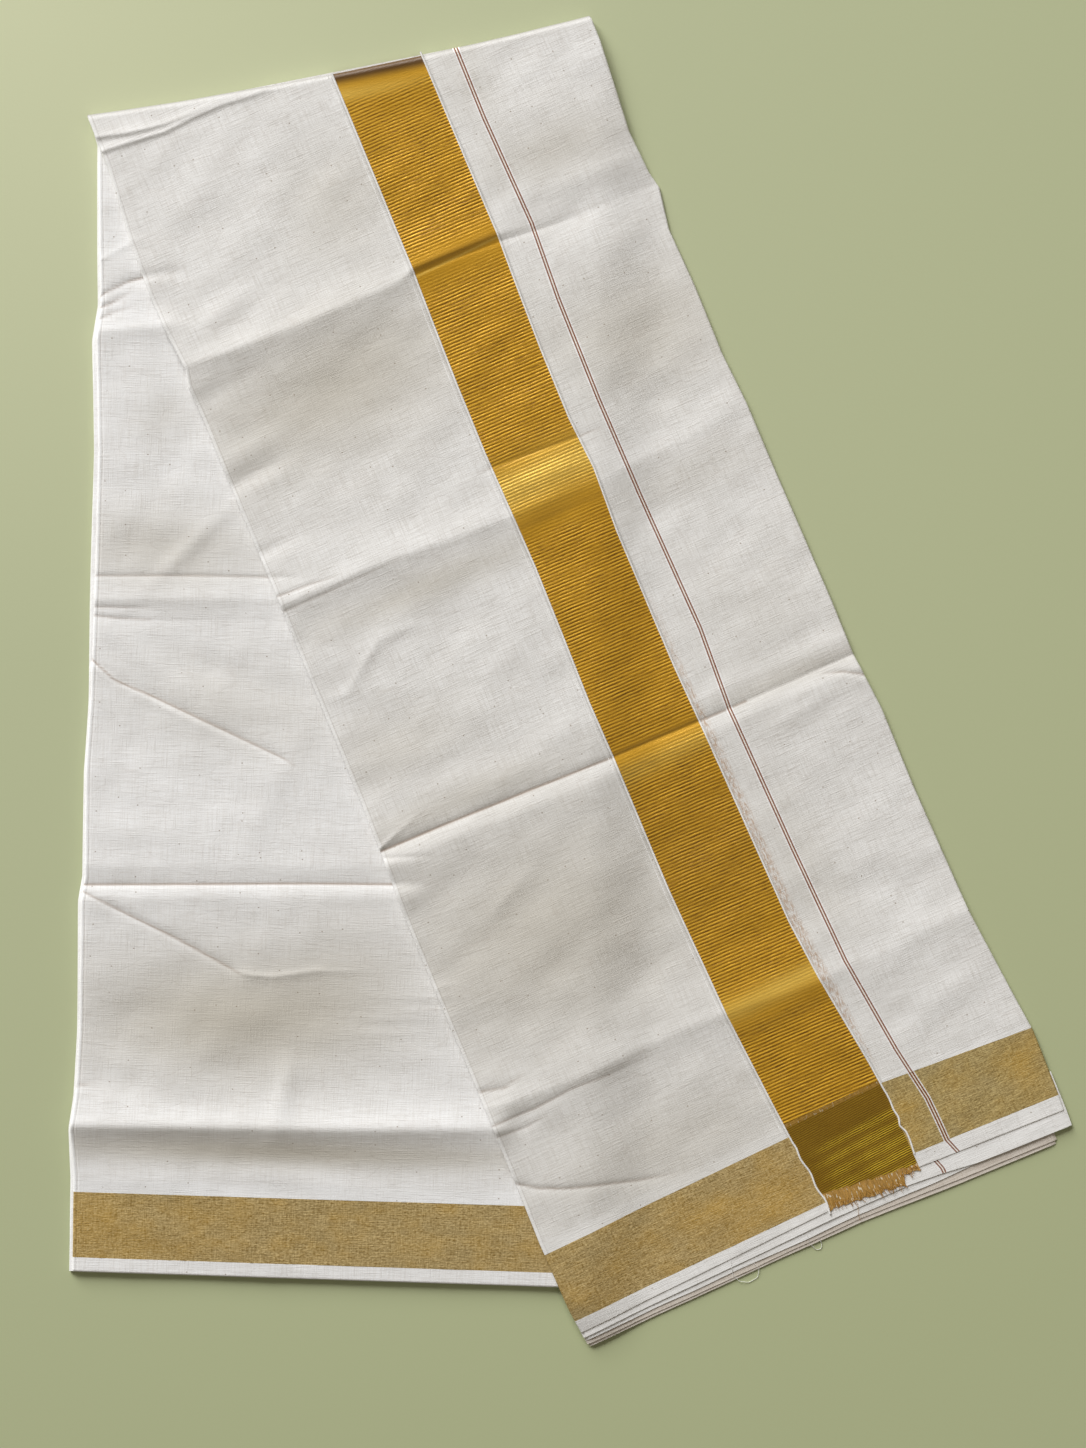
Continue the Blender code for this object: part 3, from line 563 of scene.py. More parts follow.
# The line inside the left edge: how far in, its half width and depth
SELVEDGE_AT = 3.4
SELVEDGE_HALF = 0.6
SELVEDGE_DEPTH = 0.25
# How far in from the left edge, and how far from the border, the cotton's colour follows them: its painted
# shade lines and whiter edge
RIM_REACH = 20.0
BESIDE_REACH = 16.0
# Where columns follow an edge closely, measured from it
RIM_MOVES = (2.2, 2.8, 3.4, 4.0, 4.6)
RIM_END = 5.4
# Where the points of a hidden layer's rounded side lie, as a share of its thickness
LAYER_PARTS = (0.04, 0.25, 0.5, 0.75, 0.96)
LAYER_ROUND = 0.5
# How far in from its sides the top of a pile starts, and how far below the face it is there
PILE_INWARD = 6.0
PILE_BELOW = 1.6
# How far in each hidden layer of the lower leg lies, from the lowest
LOWER_INSETS = (0.9, 0.0, 0.5, 1.0)
# The angles of the points round a folded edge, from its top to its foot
ROLL_ANGLES = (18.0, 36.0, 54.0, 72.0, 90.0, 108.0)
# The lowest that a face may lie, so that its thickness stays above the surface
LOWEST_FACE = 0.62

# Where the ribs of the zari lie flat, pressed smooth by a fold
SMOOTH_PLACES = (
    # along, above, below, share
    (190, 14, 19, 1),
    (364, 5, 8, 0.6),
    (414, 12, 14, 0.8),
    (619, 7, 9, 0.85),
    (852, 16, 16, 0.7),
)
# How far below the top fold the ribs take to stand up again
TOP_SMOOTH = 24.0
# The real ribs are 2.2 mm apart, drawn a little coarser so that a picture of this size still shows them
RIB_SPACING = 2.7
RIB_HEIGHT = 0.32
RIB_LEVEL = 0.5
# How far round the top fold the cotton turns away from the light, over which its painted shade comes in
FOLD_DARK = 6.0
# How far the yarns of the thread line stand up
YARN_HEIGHT = 0.14
# How far apart the dark specks in the cotton lie
FLECK_ACROSS = 17.0
FLECK_ALONG = 14.0

# Where painted shade darkens the zari at a fold, and where a painted highlight makes its flattened threads
# shine
FOLD_SHADE_LINES = (
    # station, half_depth, share
    (188.5, 3.6, 0.45),
    (364, 1.2, 0.20),
    (416, 3, 0.20),
    (617, 2, 0.40),
    (722, 52, 0.18),
    (868, 5, 0.20),
)
SHINE_LINES = (
    # station, half_depth, share
    (194.2, 0.9, 0.5),
    (386, 19, 0.55),
    (636, 9, 0.30),
    (848, 9, 0.50),
)


class Edge(Enum):
    """An edge of a woven stretch, by its column in its leg's sections."""

    LEFT = 1
    GOLD_LEFT = 2
    GOLD_RIGHT = 3
    RIGHT = 4
    THREAD_LEFT = 5
    THREAD_RIGHT = 6


class Held(Enum):
    """How a sheet of the cloth is held."""

    FOLDED = "folded"
    LAID = "laid"


def smooth(x: Array) -> Array:
    """Rise from 0 to 1 as x goes from 0 to 1, level at both ends.

    Args:
        x: The values.

    Returns:
        The eased values.
    """
    x = np.clip(x, 0.0, 1.0)
    return x * x * (3.0 - 2.0 * x)


def linear(colour: str) -> tuple[float, float, float, float]:
    """Turn an sRGB hex colour into a linear one.

    Args:
        colour: Six hex digits after a hash.

    Returns:
        Red, green, blue and alpha.
    """
    values = [int(colour[k:k + 2], 16) / 255.0 for k in (1, 3, 5)]
    values = [v / 12.92 if v <= 0.04045 else ((v + 0.055) / 1.055) ** 2.4 for v in values]
    return (values[0], values[1], values[2], 1.0)


def ripple(x: Array, y: Array, seed: int, size: float, waves: int, span: tuple[float, float]) -> Array:
    """A gentle unevenness made of crossing waves.

    Args:
        x: First coordinate, in millimetres.
        y: Second coordinate, in millimetres.
        seed: Which unevenness.
        size: Height of each wave.
        waves: How many waves.
        span: Shortest and longest wave.

    Returns:
        The height at each place.
    """
    dice = np.random.default_rng(seed)
    total = np.zeros(np.broadcast(x, y).shape)
    for _ in range(waves):
        angle = dice.uniform(0.0, 2.0 * math.pi)
        length = dice.uniform(*span)
        phase = dice.uniform(0.0, 2.0 * math.pi)
        turn = 2.0 * math.pi / length
        total += size * np.sin(turn * (x * math.cos(angle) + y * math.sin(angle)) + phase)
    return total


@dataclass(frozen=True)
class Leg:
    """One straight stretch of the folded cloth, with its own directions."""

    start: tuple[float, float]
    turn: float
    sections: tuple
    creases: dict[str, tuple]
    buckles: tuple
    tone_and_shade_patches: tuple
    seed: int
    right_column: int

    def directions(self) -> tuple[Array, Array]:
        """The leg's directions in the plane.

        Returns:
            Along the leg, and across it.
        """
        angle = math.radians(self.turn)
        along = np.array((math.sin(angle), -math.cos(angle)))
        across = np.array((math.cos(angle), math.sin(angle)))
        return along, across

    def place(self, along: Array, across: Array) -> tuple[Array, Array]:
        """The plane point of a place on the leg.

        Args:
            along: Station from the top fold.
            across: Distance across.

        Returns:
            X and Y, in millimetres.
        """
        down, side = self.directions()
        x = self.start[0] + along * down[0] + across * side[0]
        y = self.start[1] + along * down[1] + across * side[1]
        return x, y

    def local(self, x: Array, y: Array) -> tuple[Array, Array]:
        """The place on the leg of a plane point.

        Args:
            x: X, in millimetres.
            y: Y, in millimetres.

        Returns:
            Along and across.
        """
        down, side = self.directions()
        dx, dy = x - self.start[0], y - self.start[1]
        return dx * down[0] + dy * down[1], dx * side[0] + dy * side[1]

    def edge(self, edge: Edge, station: Array) -> Array:
        """How far across the leg one edge of its sections lies.

        Args:
            edge: Which edge.
            station: Stations along the leg.

        Returns:
            Distances across.
        """
        if edge in (Edge.THREAD_LEFT, Edge.THREAD_RIGHT):
            line = np.array(THREAD_LINE)
            side = -THREAD_HALF if edge is Edge.THREAD_LEFT else THREAD_HALF
            return np.interp(station, line[:, 0], line[:, 1]) + side
        table = np.array(self.sections)
        if edge is Edge.RIGHT:
            return np.interp(station, table[:, 0], table[:, self.right_column])
        return np.interp(station, table[:, 0], table[:, edge.value])

    def rim(self, station: Array) -> Array:
        """How far across the leg its outermost layer reaches at the left.

        Args:
            station: Stations along the leg.

        Returns:
            Distances across.
        """
        edge = self.edge(Edge.LEFT, station)
        if self.right_column == Edge.RIGHT.value:
            return edge
        table = np.array(self.sections)
        return edge + np.interp(station, table[:, 0], table[:, self.right_column + 1])

    def crease(self, rows: tuple, along: Array, across: Array) -> tuple[Array, Array]:
        """The lift of one crease, and the painted shade at the bottom of it.

        Args:
            rows: Its rows, each across, along, height, above, below and crest.
            along: Stations.
            across: Distances across.

        Returns:
            The lift and the share of soil at each place.
        """
        places, *columns = np.array(rows).T
        beyond = np.maximum(np.maximum(places[0] - across, across - places[-1]), 0.0)
        middle, height, above, below, crest = (np.interp(across, places, column) for column in columns)
        keep = 1.0 - smooth(beyond / FADE_BEYOND)
        away = along - middle
        width = np.where(away < 0.0, above, below)
        lift = height * keep * np.exp((crest - np.hypot(away, crest)) / width)
        depth = np.clip(-height / PAINTED_SHADE_DEPTH, 0.0, 1.0) * (crest < PAINTED_SHADE_CREST)
        return lift, depth * keep * np.exp(-((away / PAINTED_SHADE_HALF) ** 2))

    def relief(self, along: Array, across: Array) -> Array:
        """How far creases, buckles and unevenness lift the cloth.

        Args:
            along: Stations.
            across: Distances across.

        Returns:
            The lift at each place.
        """
        lift = ripple(across, along, self.seed, 0.045, 26, (26.0, 95.0))
        lift = lift - SELVEDGE_DEPTH * self.selvedge(along, across)
        for rows in self.creases.values():
            lift = lift + self.crease(rows, along, across)[0]
        return lift + self.patches(self.buckles, along, across)

    def selvedge(self, along: Array, across: Array) -> Array:
        """The line along the inner side of the woven edge at the left.

        Args:
            along: Stations.
            across: Distances across.

        Returns:
            The share at each place.
        """
        inside = across - self.rim(along)
        return np.exp(-(((inside - SELVEDGE_AT) / SELVEDGE_HALF) ** 2))

    def patches(self, table: tuple, along: Array, across: Array) -> Array:
        """The sum of soft oval patches.

        Args:
            table: Rows of across, along, length, width, turn and height.
            along: Stations.
            across: Distances across.

        Returns:
            The sum at each place.
        """
        total = np.zeros(np.broadcast(along, across).shape)
        for at_across, at_along, length, width, turn, height in table:
            angle = math.radians(turn)
            dx, dy = across - at_across, along - at_along
            p = (dx * math.cos(angle) + dy * math.sin(angle)) / length
            q = (dy * math.cos(angle) - dx * math.sin(angle)) / width
            total = total + height * np.exp(-p * p - q * q)
        return total

    def marks(self, uv: Array) -> dict[str, Array]:
        """The painted shade in the creases and the beige of tone and painted shade at each point, and how
        near the left edge it is.

        Args:
            uv: Places on the cloth, across and along.

        Returns:
            A number for each point, by the attribute's name.
        """
        across, along = uv[:, :, 0], uv[:, :, 1]
        painted_shade = np.zeros(across.shape)
        for rows in self.creases.values():
            painted_shade = np.maximum(painted_shade, self.crease(rows, along, across)[1])
        tone_and_shade = np.clip(self.patches(self.tone_and_shade_patches, along, across), 0.0, 1.0)
        near = np.clip(1.0 - (across - self.rim(along)) / RIM_REACH, 0.0, 1.2)
        return {"painted_shade": PAINTED_SHADE_SHARE * painted_shade, "tone_and_shade": tone_and_shade, "rim": near}


UPPER = Leg((-383.158, 432.017), 23.2, UPPER_SECTIONS, UPPER_CREASES, UPPER_BUCKLES, UPPER_TONE_AND_SHADE, 5, 4)
LOWER = Leg((-387.258, 423.817), -1.8, LOWER_SECTIONS, LOWER_CREASES, LOWER_BUCKLES, LOWER_TONE_AND_SHADE, 9, 2)


def lower_height(x: Array, y: Array) -> Array:
    """The height of the lower leg's face, with its folds sinking under the upper leg.

    Args:
        x: X, in millimetres.
        y: Y, in millimetres.

    Returns:
        The height, in millimetres.
    """
    along, across = LOWER.local(x, y)
    u_along, u_across = UPPER.local(x, y)
    inside = u_across - UPPER.edge(Edge.LEFT, u_along)
    keep = 1.0 - (1.0 - HIDDEN_RIDGE) * smooth(inside / FADE_UNDER)
    return LOWER_TOP + keep * LOWER.relief(along, across)


def upper_base(x: Array, y: Array) -> Array:
    """The height that the upper leg rests at: on the lower leg, and then on the surface.

    Args:
        x: X, in millimetres.
        y: Y, in millimetres.

    Returns:
        The height, in millimetres.
    """
    along, across = LOWER.local(x, y)
    side = np.maximum(0.0, across - LOWER.edge(Edge.RIGHT, along))
    end = np.maximum(0.0, along - LOWER_CLOTH_END[0])
    stay = 1.0 - smooth((np.hypot(side, end) - DROP_START) / DROP_WIDTH)
    return (lower_height(x, y) + LEG_CLEARANCE) * stay


def upper_height(along: Array, across: Array) -> Array:
    """The height of the upper leg's face.

    Args:
        along: Stations.
        across: Distances across.

    Returns:
        The height, in millimetres.
    """
    x, y = UPPER.place(along, across)
    return upper_base(x, y) + UPPER_DEPTH + UPPER.relief(along, across)


@dataclass(frozen=True)
class Column:
    """One line of points along a leg: where it lies across, and how far below the face."""

    first: Edge
    last: Edge
    share: float
    move: float = 0.0
    drop: float = 0.0


def spread_columns(
    first: Edge, last: Edge, cells: int, first_move: float = 0.0, last_move: float = 0.0,
) -> list[Column]:
    """Columns evenly across a stretch, from one edge to another.

    Args:
        first: Left edge.
        last: Right edge.
        cells: How many cells.
        first_move: Move of the first column.
        last_move: Move of the last column.

    Returns:
        The columns, left to right.
    """
    shares = [k / cells for k in range(cells + 1)]
    return [Column(first, last, t, first_move + (last_move - first_move) * t) for t in shares]


def rolled_columns(edge: Edge, sign: float, move: float = 0.0) -> list[Column]:
    """Columns that go down round a folded side edge, from its foot to just before its top.

    Args:
        edge: Which edge.
        sign: 1 where the cloth lies to the right of the edge, and -1 where it lies to the left.
        move: How far the edge is moved to the right.

    Returns:
        The columns, from the outermost.
    """
    columns = []
    for angle in reversed(ROLL_ANGLES):
        turn = math.radians(angle)
        inward = EDGE_RADIUS * (1.0 - math.sin(turn))
        down = EDGE_RADIUS * (1.0 - math.cos(turn))
        columns.append(Column(edge, edge, 0.0, move + sign * inward, down))
    return columns


def rim_columns(edge: Edge) -> list[Column]:
    """Columns that go round the folded left edge and follow its selvedge closely.

    Args:
        edge: Which edge.

    Returns:
        The columns, from the outermost.
    """
    close = [Column(edge, edge, 0.0, move) for move in (EDGE_RADIUS, *RIM_MOVES)]
    return rolled_columns(edge, 1.0) + close


def spread_rows(table: tuple, spacing: float = 0.0) -> Array:
    """The rows of a leg, with the cells of each stretch evenly spaced.

    Args:
        table: Rows of left station, right station, bow and spacing.
        spacing: One spacing for all of them, or 0 for their own.

    Returns:
        Left station, right station and bow of each row.
    """
    rows = [np.array(table[0][:3])]
    for last, row in zip(table, table[1:]):
        first, onward = np.array(last[:3]), np.array(row[:3])
        gap = float(np.max(np.abs(onward[:2] - first[:2])))
        cells = max(1, round(gap / (spacing or row[3])))
        rows += [first + (onward - first) * k / cells for k in range(1, cells + 1)]
    return np.array(rows)


def spaced(first: tuple, last: tuple, spacing: float) -> Array:
    """Rows from one pair of stations to another.

    Args:
        first: Left station, right station and bow of the first row.
        last: The same of the last row.
        spacing: Distance between rows.

    Returns:
        The rows.
    """
    return spread_rows((first, (*last, spacing)))


STATION_SHARE = {Edge.LEFT: 0.0, Edge.GOLD_LEFT: 0.48, Edge.GOLD_RIGHT: 0.66, Edge.THREAD_LEFT: 0.74,
                 Edge.THREAD_RIGHT: 0.75, Edge.RIGHT: 1.0}


def lay_out(leg: Leg, rows: Array, columns: list[Column]) -> tuple[Array, Array, Array]:
    """The places of a grid of rows and columns on a leg.

    Args:
        leg: Which leg.
        rows: Its rows.
        columns: Its columns.

    Returns:
        Along, across and drop, each with a line for each row.
    """
    first, last, bow = rows[:, 0:1], rows[:, 1:2], rows[:, 2:3]
    lines = []
    for column in columns:
        ends = []
        for edge in (column.first, column.last):
            station = first + (last - first) * STATION_SHARE[edge]
            ends.append(leg.edge(edge, station))
        lines.append(ends[0] + (ends[1] - ends[0]) * column.share + column.move)
    across = np.hstack(lines)
    left = leg.edge(Edge.LEFT, first)
    right = leg.edge(Edge.RIGHT, last)
    share = (across - left) / (right - left)
    along = first + (last - first) * share + 4.0 * bow * share * (1.0 - share)
    drop = np.array([column.drop for column in columns])[None, :] + np.zeros_like(along)
    return along, across, drop


def grid_normals(points: Array) -> Array:
    """Unit normals of a grid of points, up where the rows run along -Y and the columns along X.

    Args:
        points: Rows, columns and coordinates.

    Returns:
        A normal for each point.
    """
    normal = np.cross(np.gradient(points, axis=0), np.gradient(points, axis=1))
    return normal / np.maximum(np.linalg.norm(normal, axis=2, keepdims=True), 1e-12)


def add_object(name: str, data: ID) -> Object:
    """Make an object and put it in the scene.

    Args:
        name: Its name.
        data: Its mesh, light or camera.

    Returns:
        The object.
    """
    made = bpy.data.objects.new(name, data)
    bpy.context.scene.collection.objects.link(made)
    return made


def mesh_object(name: str, points: Array, faces: list[Array], uv: Array, marks: dict[str, Array]) -> Object:
    """Make an object of points and faces.

    Args:
        name: The piece's name.
        points: Its points, in metres.
        faces: Tables of faces, each with its own number of corners.
        uv: A place on the cloth for each point, in metres.
        marks: A number for each point, by the attribute's name.

    Returns:
        The object, at the origin.
    """
    mesh = bpy.data.meshes.new(name)
    corners = np.concatenate([table.ravel() for table in faces]).astype(np.int32)
    sizes = np.concatenate([np.full(len(table), table.shape[1]) for table in faces])
    starts = np.concatenate(([0], np.cumsum(sizes)[:-1])).astype(np.int32)
    mesh.vertices.add(len(points))
    mesh.vertices.foreach_set("co", points.astype(np.float32).ravel())
    mesh.loops.add(len(corners))
    mesh.loops.foreach_set("vertex_index", corners)
    mesh.polygons.add(len(sizes))
    mesh.polygons.foreach_set("loop_start", starts)
    mesh.update(calc_edges=True)
    layer = mesh.uv_layers.new(name="cloth")
    layer.data.foreach_set("uv", uv[corners].astype(np.float32).ravel())
    for mark, values in marks.items():
        attribute = mesh.attributes.new(mark, "FLOAT", "POINT")
        attribute.data.foreach_set("value", values.astype(np.float32).ravel())
    mesh.validate()
    mesh.shade_smooth()
    mesh.set_sharp_from_angle(angle=math.radians(60.0))
    return add_object(name, mesh)


def cell_faces(count_rows: int, count_columns: int) -> Array:
    """The four-cornered faces of a grid, facing up.

    Args:
        count_rows: Rows of points.
        count_columns: Columns of points.

    Returns:
        A face on each line.
    """
    index = np.arange(count_rows * count_columns).reshape(count_rows, count_columns)
    corners = (index[:-1, :-1], index[1:, :-1], index[1:, 1:], index[:-1, 1:])
    return np.stack([c.ravel() for c in corners], axis=1)


def shell(name: str, outer: Array, uv: Array, marks: dict[str, Array] | None = None) -> Object:
    """A closed thin sheet under a grid of points.

    Args:
        name: The piece's name.
        outer: The points of its outer side, in millimetres.
        uv: The place on the cloth of each point, in millimetres.
        marks: Numbers for each point, by the attribute's name.

    Returns:
        The object.
    """
    count_rows, count_columns = outer.shape[:2]
    inner = outer - grid_normals(outer) * CLOTH
    points = np.concatenate((outer.reshape(-1, 3), inner.reshape(-1, 3))) * MM
    places = np.concatenate((uv.reshape(-1, 2), uv.reshape(-1, 2))) * MM
    half = count_rows * count_columns
    top = cell_faces(count_rows, count_columns)
    index = np.arange(half).reshape(count_rows, count_columns)
    rim = np.concatenate((index[0, :], index[1:, -1], index[-1, -2::-1], index[-2:0:-1, 0]))
    onward = np.roll(rim, -1)
    band = np.stack((rim, onward, onward + half, rim + half), axis=1)
    doubled = {mark: np.tile(values.ravel(), 2) for mark, values in (marks or {}).items()}
    return mesh_object(name, points, [top, top[:, ::-1] + half, band], places, doubled)


def add_node(
    tree: NodeTree, kind: str, inputs: dict | None = None, out: int | str | None = None,
    stops: tuple = (), **settings: object,
) -> Node | NodeSocket:
    """Add a node with its settings, and its inputs set or linked.

    Args:
        tree: The tree that it goes in.
        kind: The node's type.
        inputs: A value, or an output socket to link, by the input's name or number.
        out: The output that is wanted, or None for the node itself.
        stops: Places and colours of a colour ramp, lowest first.
        settings: The node's own properties.

    Returns:
        The node, or the output.
    """
    node = tree.nodes.new(kind)
    for key, value in settings.items():
        setattr(node, key, value)
    for key, value in (inputs or {}).items():
        if isinstance(value, NodeSocket):
            tree.links.new(value, node.inputs[key])
        else:
            node.inputs[key].default_value = value
    if stops:
        elements = node.color_ramp.elements
        for element, (position, colour) in zip(elements, (stops[0], stops[-1])):
            element.position, element.color = position, colour
        for position, colour in stops[1:-1]:
            elements.new(position).color = colour
    return node if out is None else node.outputs[out]


def patterns(tree: NodeTree, table: tuple) -> dict[str, NodeSocket]:
    """Random patterns on the cloth, each stretched to run from 0 to 1.

    Args:
        tree: The tree.
        table: Rows of name, size across, size along, grain, and the levels that become 0 and 1.

    Returns:
        A value for each name.
    """
    place = add_node(tree, "ShaderNodeUVMap", out="UV", uv_map="cloth")
    made = {}
    for name, across, along, grain, low, high in table:
        scale = (1.0 / (across * MM), 1.0 / (along * MM), 1.0)
        vector = add_node(tree, "ShaderNodeVectorMath", {0: place, 1: scale}, 0, operation="MULTIPLY")
        inputs = {"Vector": vector, "Scale": 1.0, "Detail": grain, "Roughness": 0.55}
        noise = add_node(tree, "ShaderNodeTexNoise", inputs, "Fac")
        made[name] = add_node(tree, "ShaderNodeMapRange", {0: noise, 1: low, 2: high}, 0)
    return made


def weighed(tree: NodeTree, parts: tuple) -> NodeSocket:
    """The sum of values, each times its weight.

    Args:
        tree: The tree.
        parts: Pairs of a value and its weight.

    Returns:
        The sum.
    """
    total = 0.0
    for value, weight in parts:
        inputs = {0: value, 1: weight, 2: total}
        total = add_node(tree, "ShaderNodeMath", inputs, 0, operation="MULTIPLY_ADD")
    return total


def laid_over(tree: NodeTree, colour: object, coats: tuple) -> NodeSocket:
    """A colour with others laid over it. Each colour is an output, a linear colour or hex digits.

    Args:
        tree: The tree.
        colour: The lowest colour.
        coats: Rows of a share, its weight and a colour, lowest first.

    Returns:
        The colour.
    """
    under = linear(colour) if isinstance(colour, str) else colour
    for share, weight, over in coats:
        over = linear(over) if isinstance(over, str) else over
        inputs = {0: weighed(tree, ((share, weight),)), 6: under, 7: over}
        under = add_node(tree, "ShaderNodeMix", inputs, 2, data_type="RGBA")
    return under


@dataclass(frozen=True)
class Finish:
    """What every finish has: a name, its roughness, and a Principled BSDF."""

    name: str
    roughness: float = 0.86
    specular: float = 0.25

    def start(self) -> tuple[Material, NodeTree, Node]:
        """Make the empty material.

        Returns:
            The material, its tree and its Principled BSDF.
        """
        material = bpy.data.materials.new(self.name)
        material.use_nodes = True
        shader = material.node_tree.nodes["Principled BSDF"]
        shader.inputs["Roughness"].default_value = self.roughness
        shader.inputs["Specular IOR Level"].default_value = self.specular
        return material, material.node_tree, shader

    def end(
        self, tree: NodeTree, shader: Node, colour: object, height: object,
        depth: float, strength: float,
    ) -> None:
        """Link the colour and the bump to the Principled BSDF.

        Args:
            tree: The tree.
            shader: The Principled BSDF.
            colour: The colour.
            height: The bump's height, from 0 to 1.
            depth: What a height of 1 is, in millimetres.
            strength: How strongly it shows.
        """
        inputs = {"Height": height, "Strength": strength, "Distance": depth * MM}
        bump = add_node(tree, "ShaderNodeBump", inputs, "Normal")
        tree.links.new(colour, shader.inputs["Base Color"])
        tree.links.new(bump, shader.inputs["Normal"])


# The dyed warp yarns across their line, from its left side to its right
YARN_STOPS = (
    # place, colour
    (0.00, "#fbfaf9"),
    (0.15, "#ffffff"),
    (0.19, "#84420f"),
    (0.39, "#84420f"),
    (0.43, "#fffaf0"),
    (0.57, "#fffaf0"),
    (0.61, "#84420f"),
    (0.81, "#84420f"),
    (0.85, "#ffffff"),
    (1.00, "#fbfaf9"),
)


@dataclass(frozen=True)
class StripedWeave(Finish):
    """A weave that can carry the line of dyed warp yarns."""

    # The colour of the painted shade at the bottom of sharp creases, in fine wrinkles and along cut ends
    painted_shade: str = "#94785f"

    def striped(self, tree: NodeTree, colour: object, worn: object) -> NodeSocket:
        """The cloth's colour with the dyed warp yarns in it, where the points carry their line.

        Args:
            tree: The tree.
            colour: The cloth's colour.
            worn: Where the yarns show less.

        Returns:
            The colour.
        """
        carried = add_node(tree, "ShaderNodeAttribute", out="Fac", attribute_name="stripe")
        across = weighed(tree, ((carried, 1.0), (1.0, -1.0)))
        clear = (1.0, 1.0, 1.0, 0.0)
        inner = [(0.04 + 0.92 * position, linear(shade)) for position, shade in YARN_STOPS]
        stops = ((0.0, clear), *inner, (1.0, clear))
        ramp = add_node(tree, "ShaderNodeValToRGB", {0: across}, stops=stops)
        share = weighed(tree, ((worn, -0.25), (1.0, 1.0)))
        return laid_over(tree, colour, ((ramp.outputs["Alpha"], share, ramp.outputs[0]),))


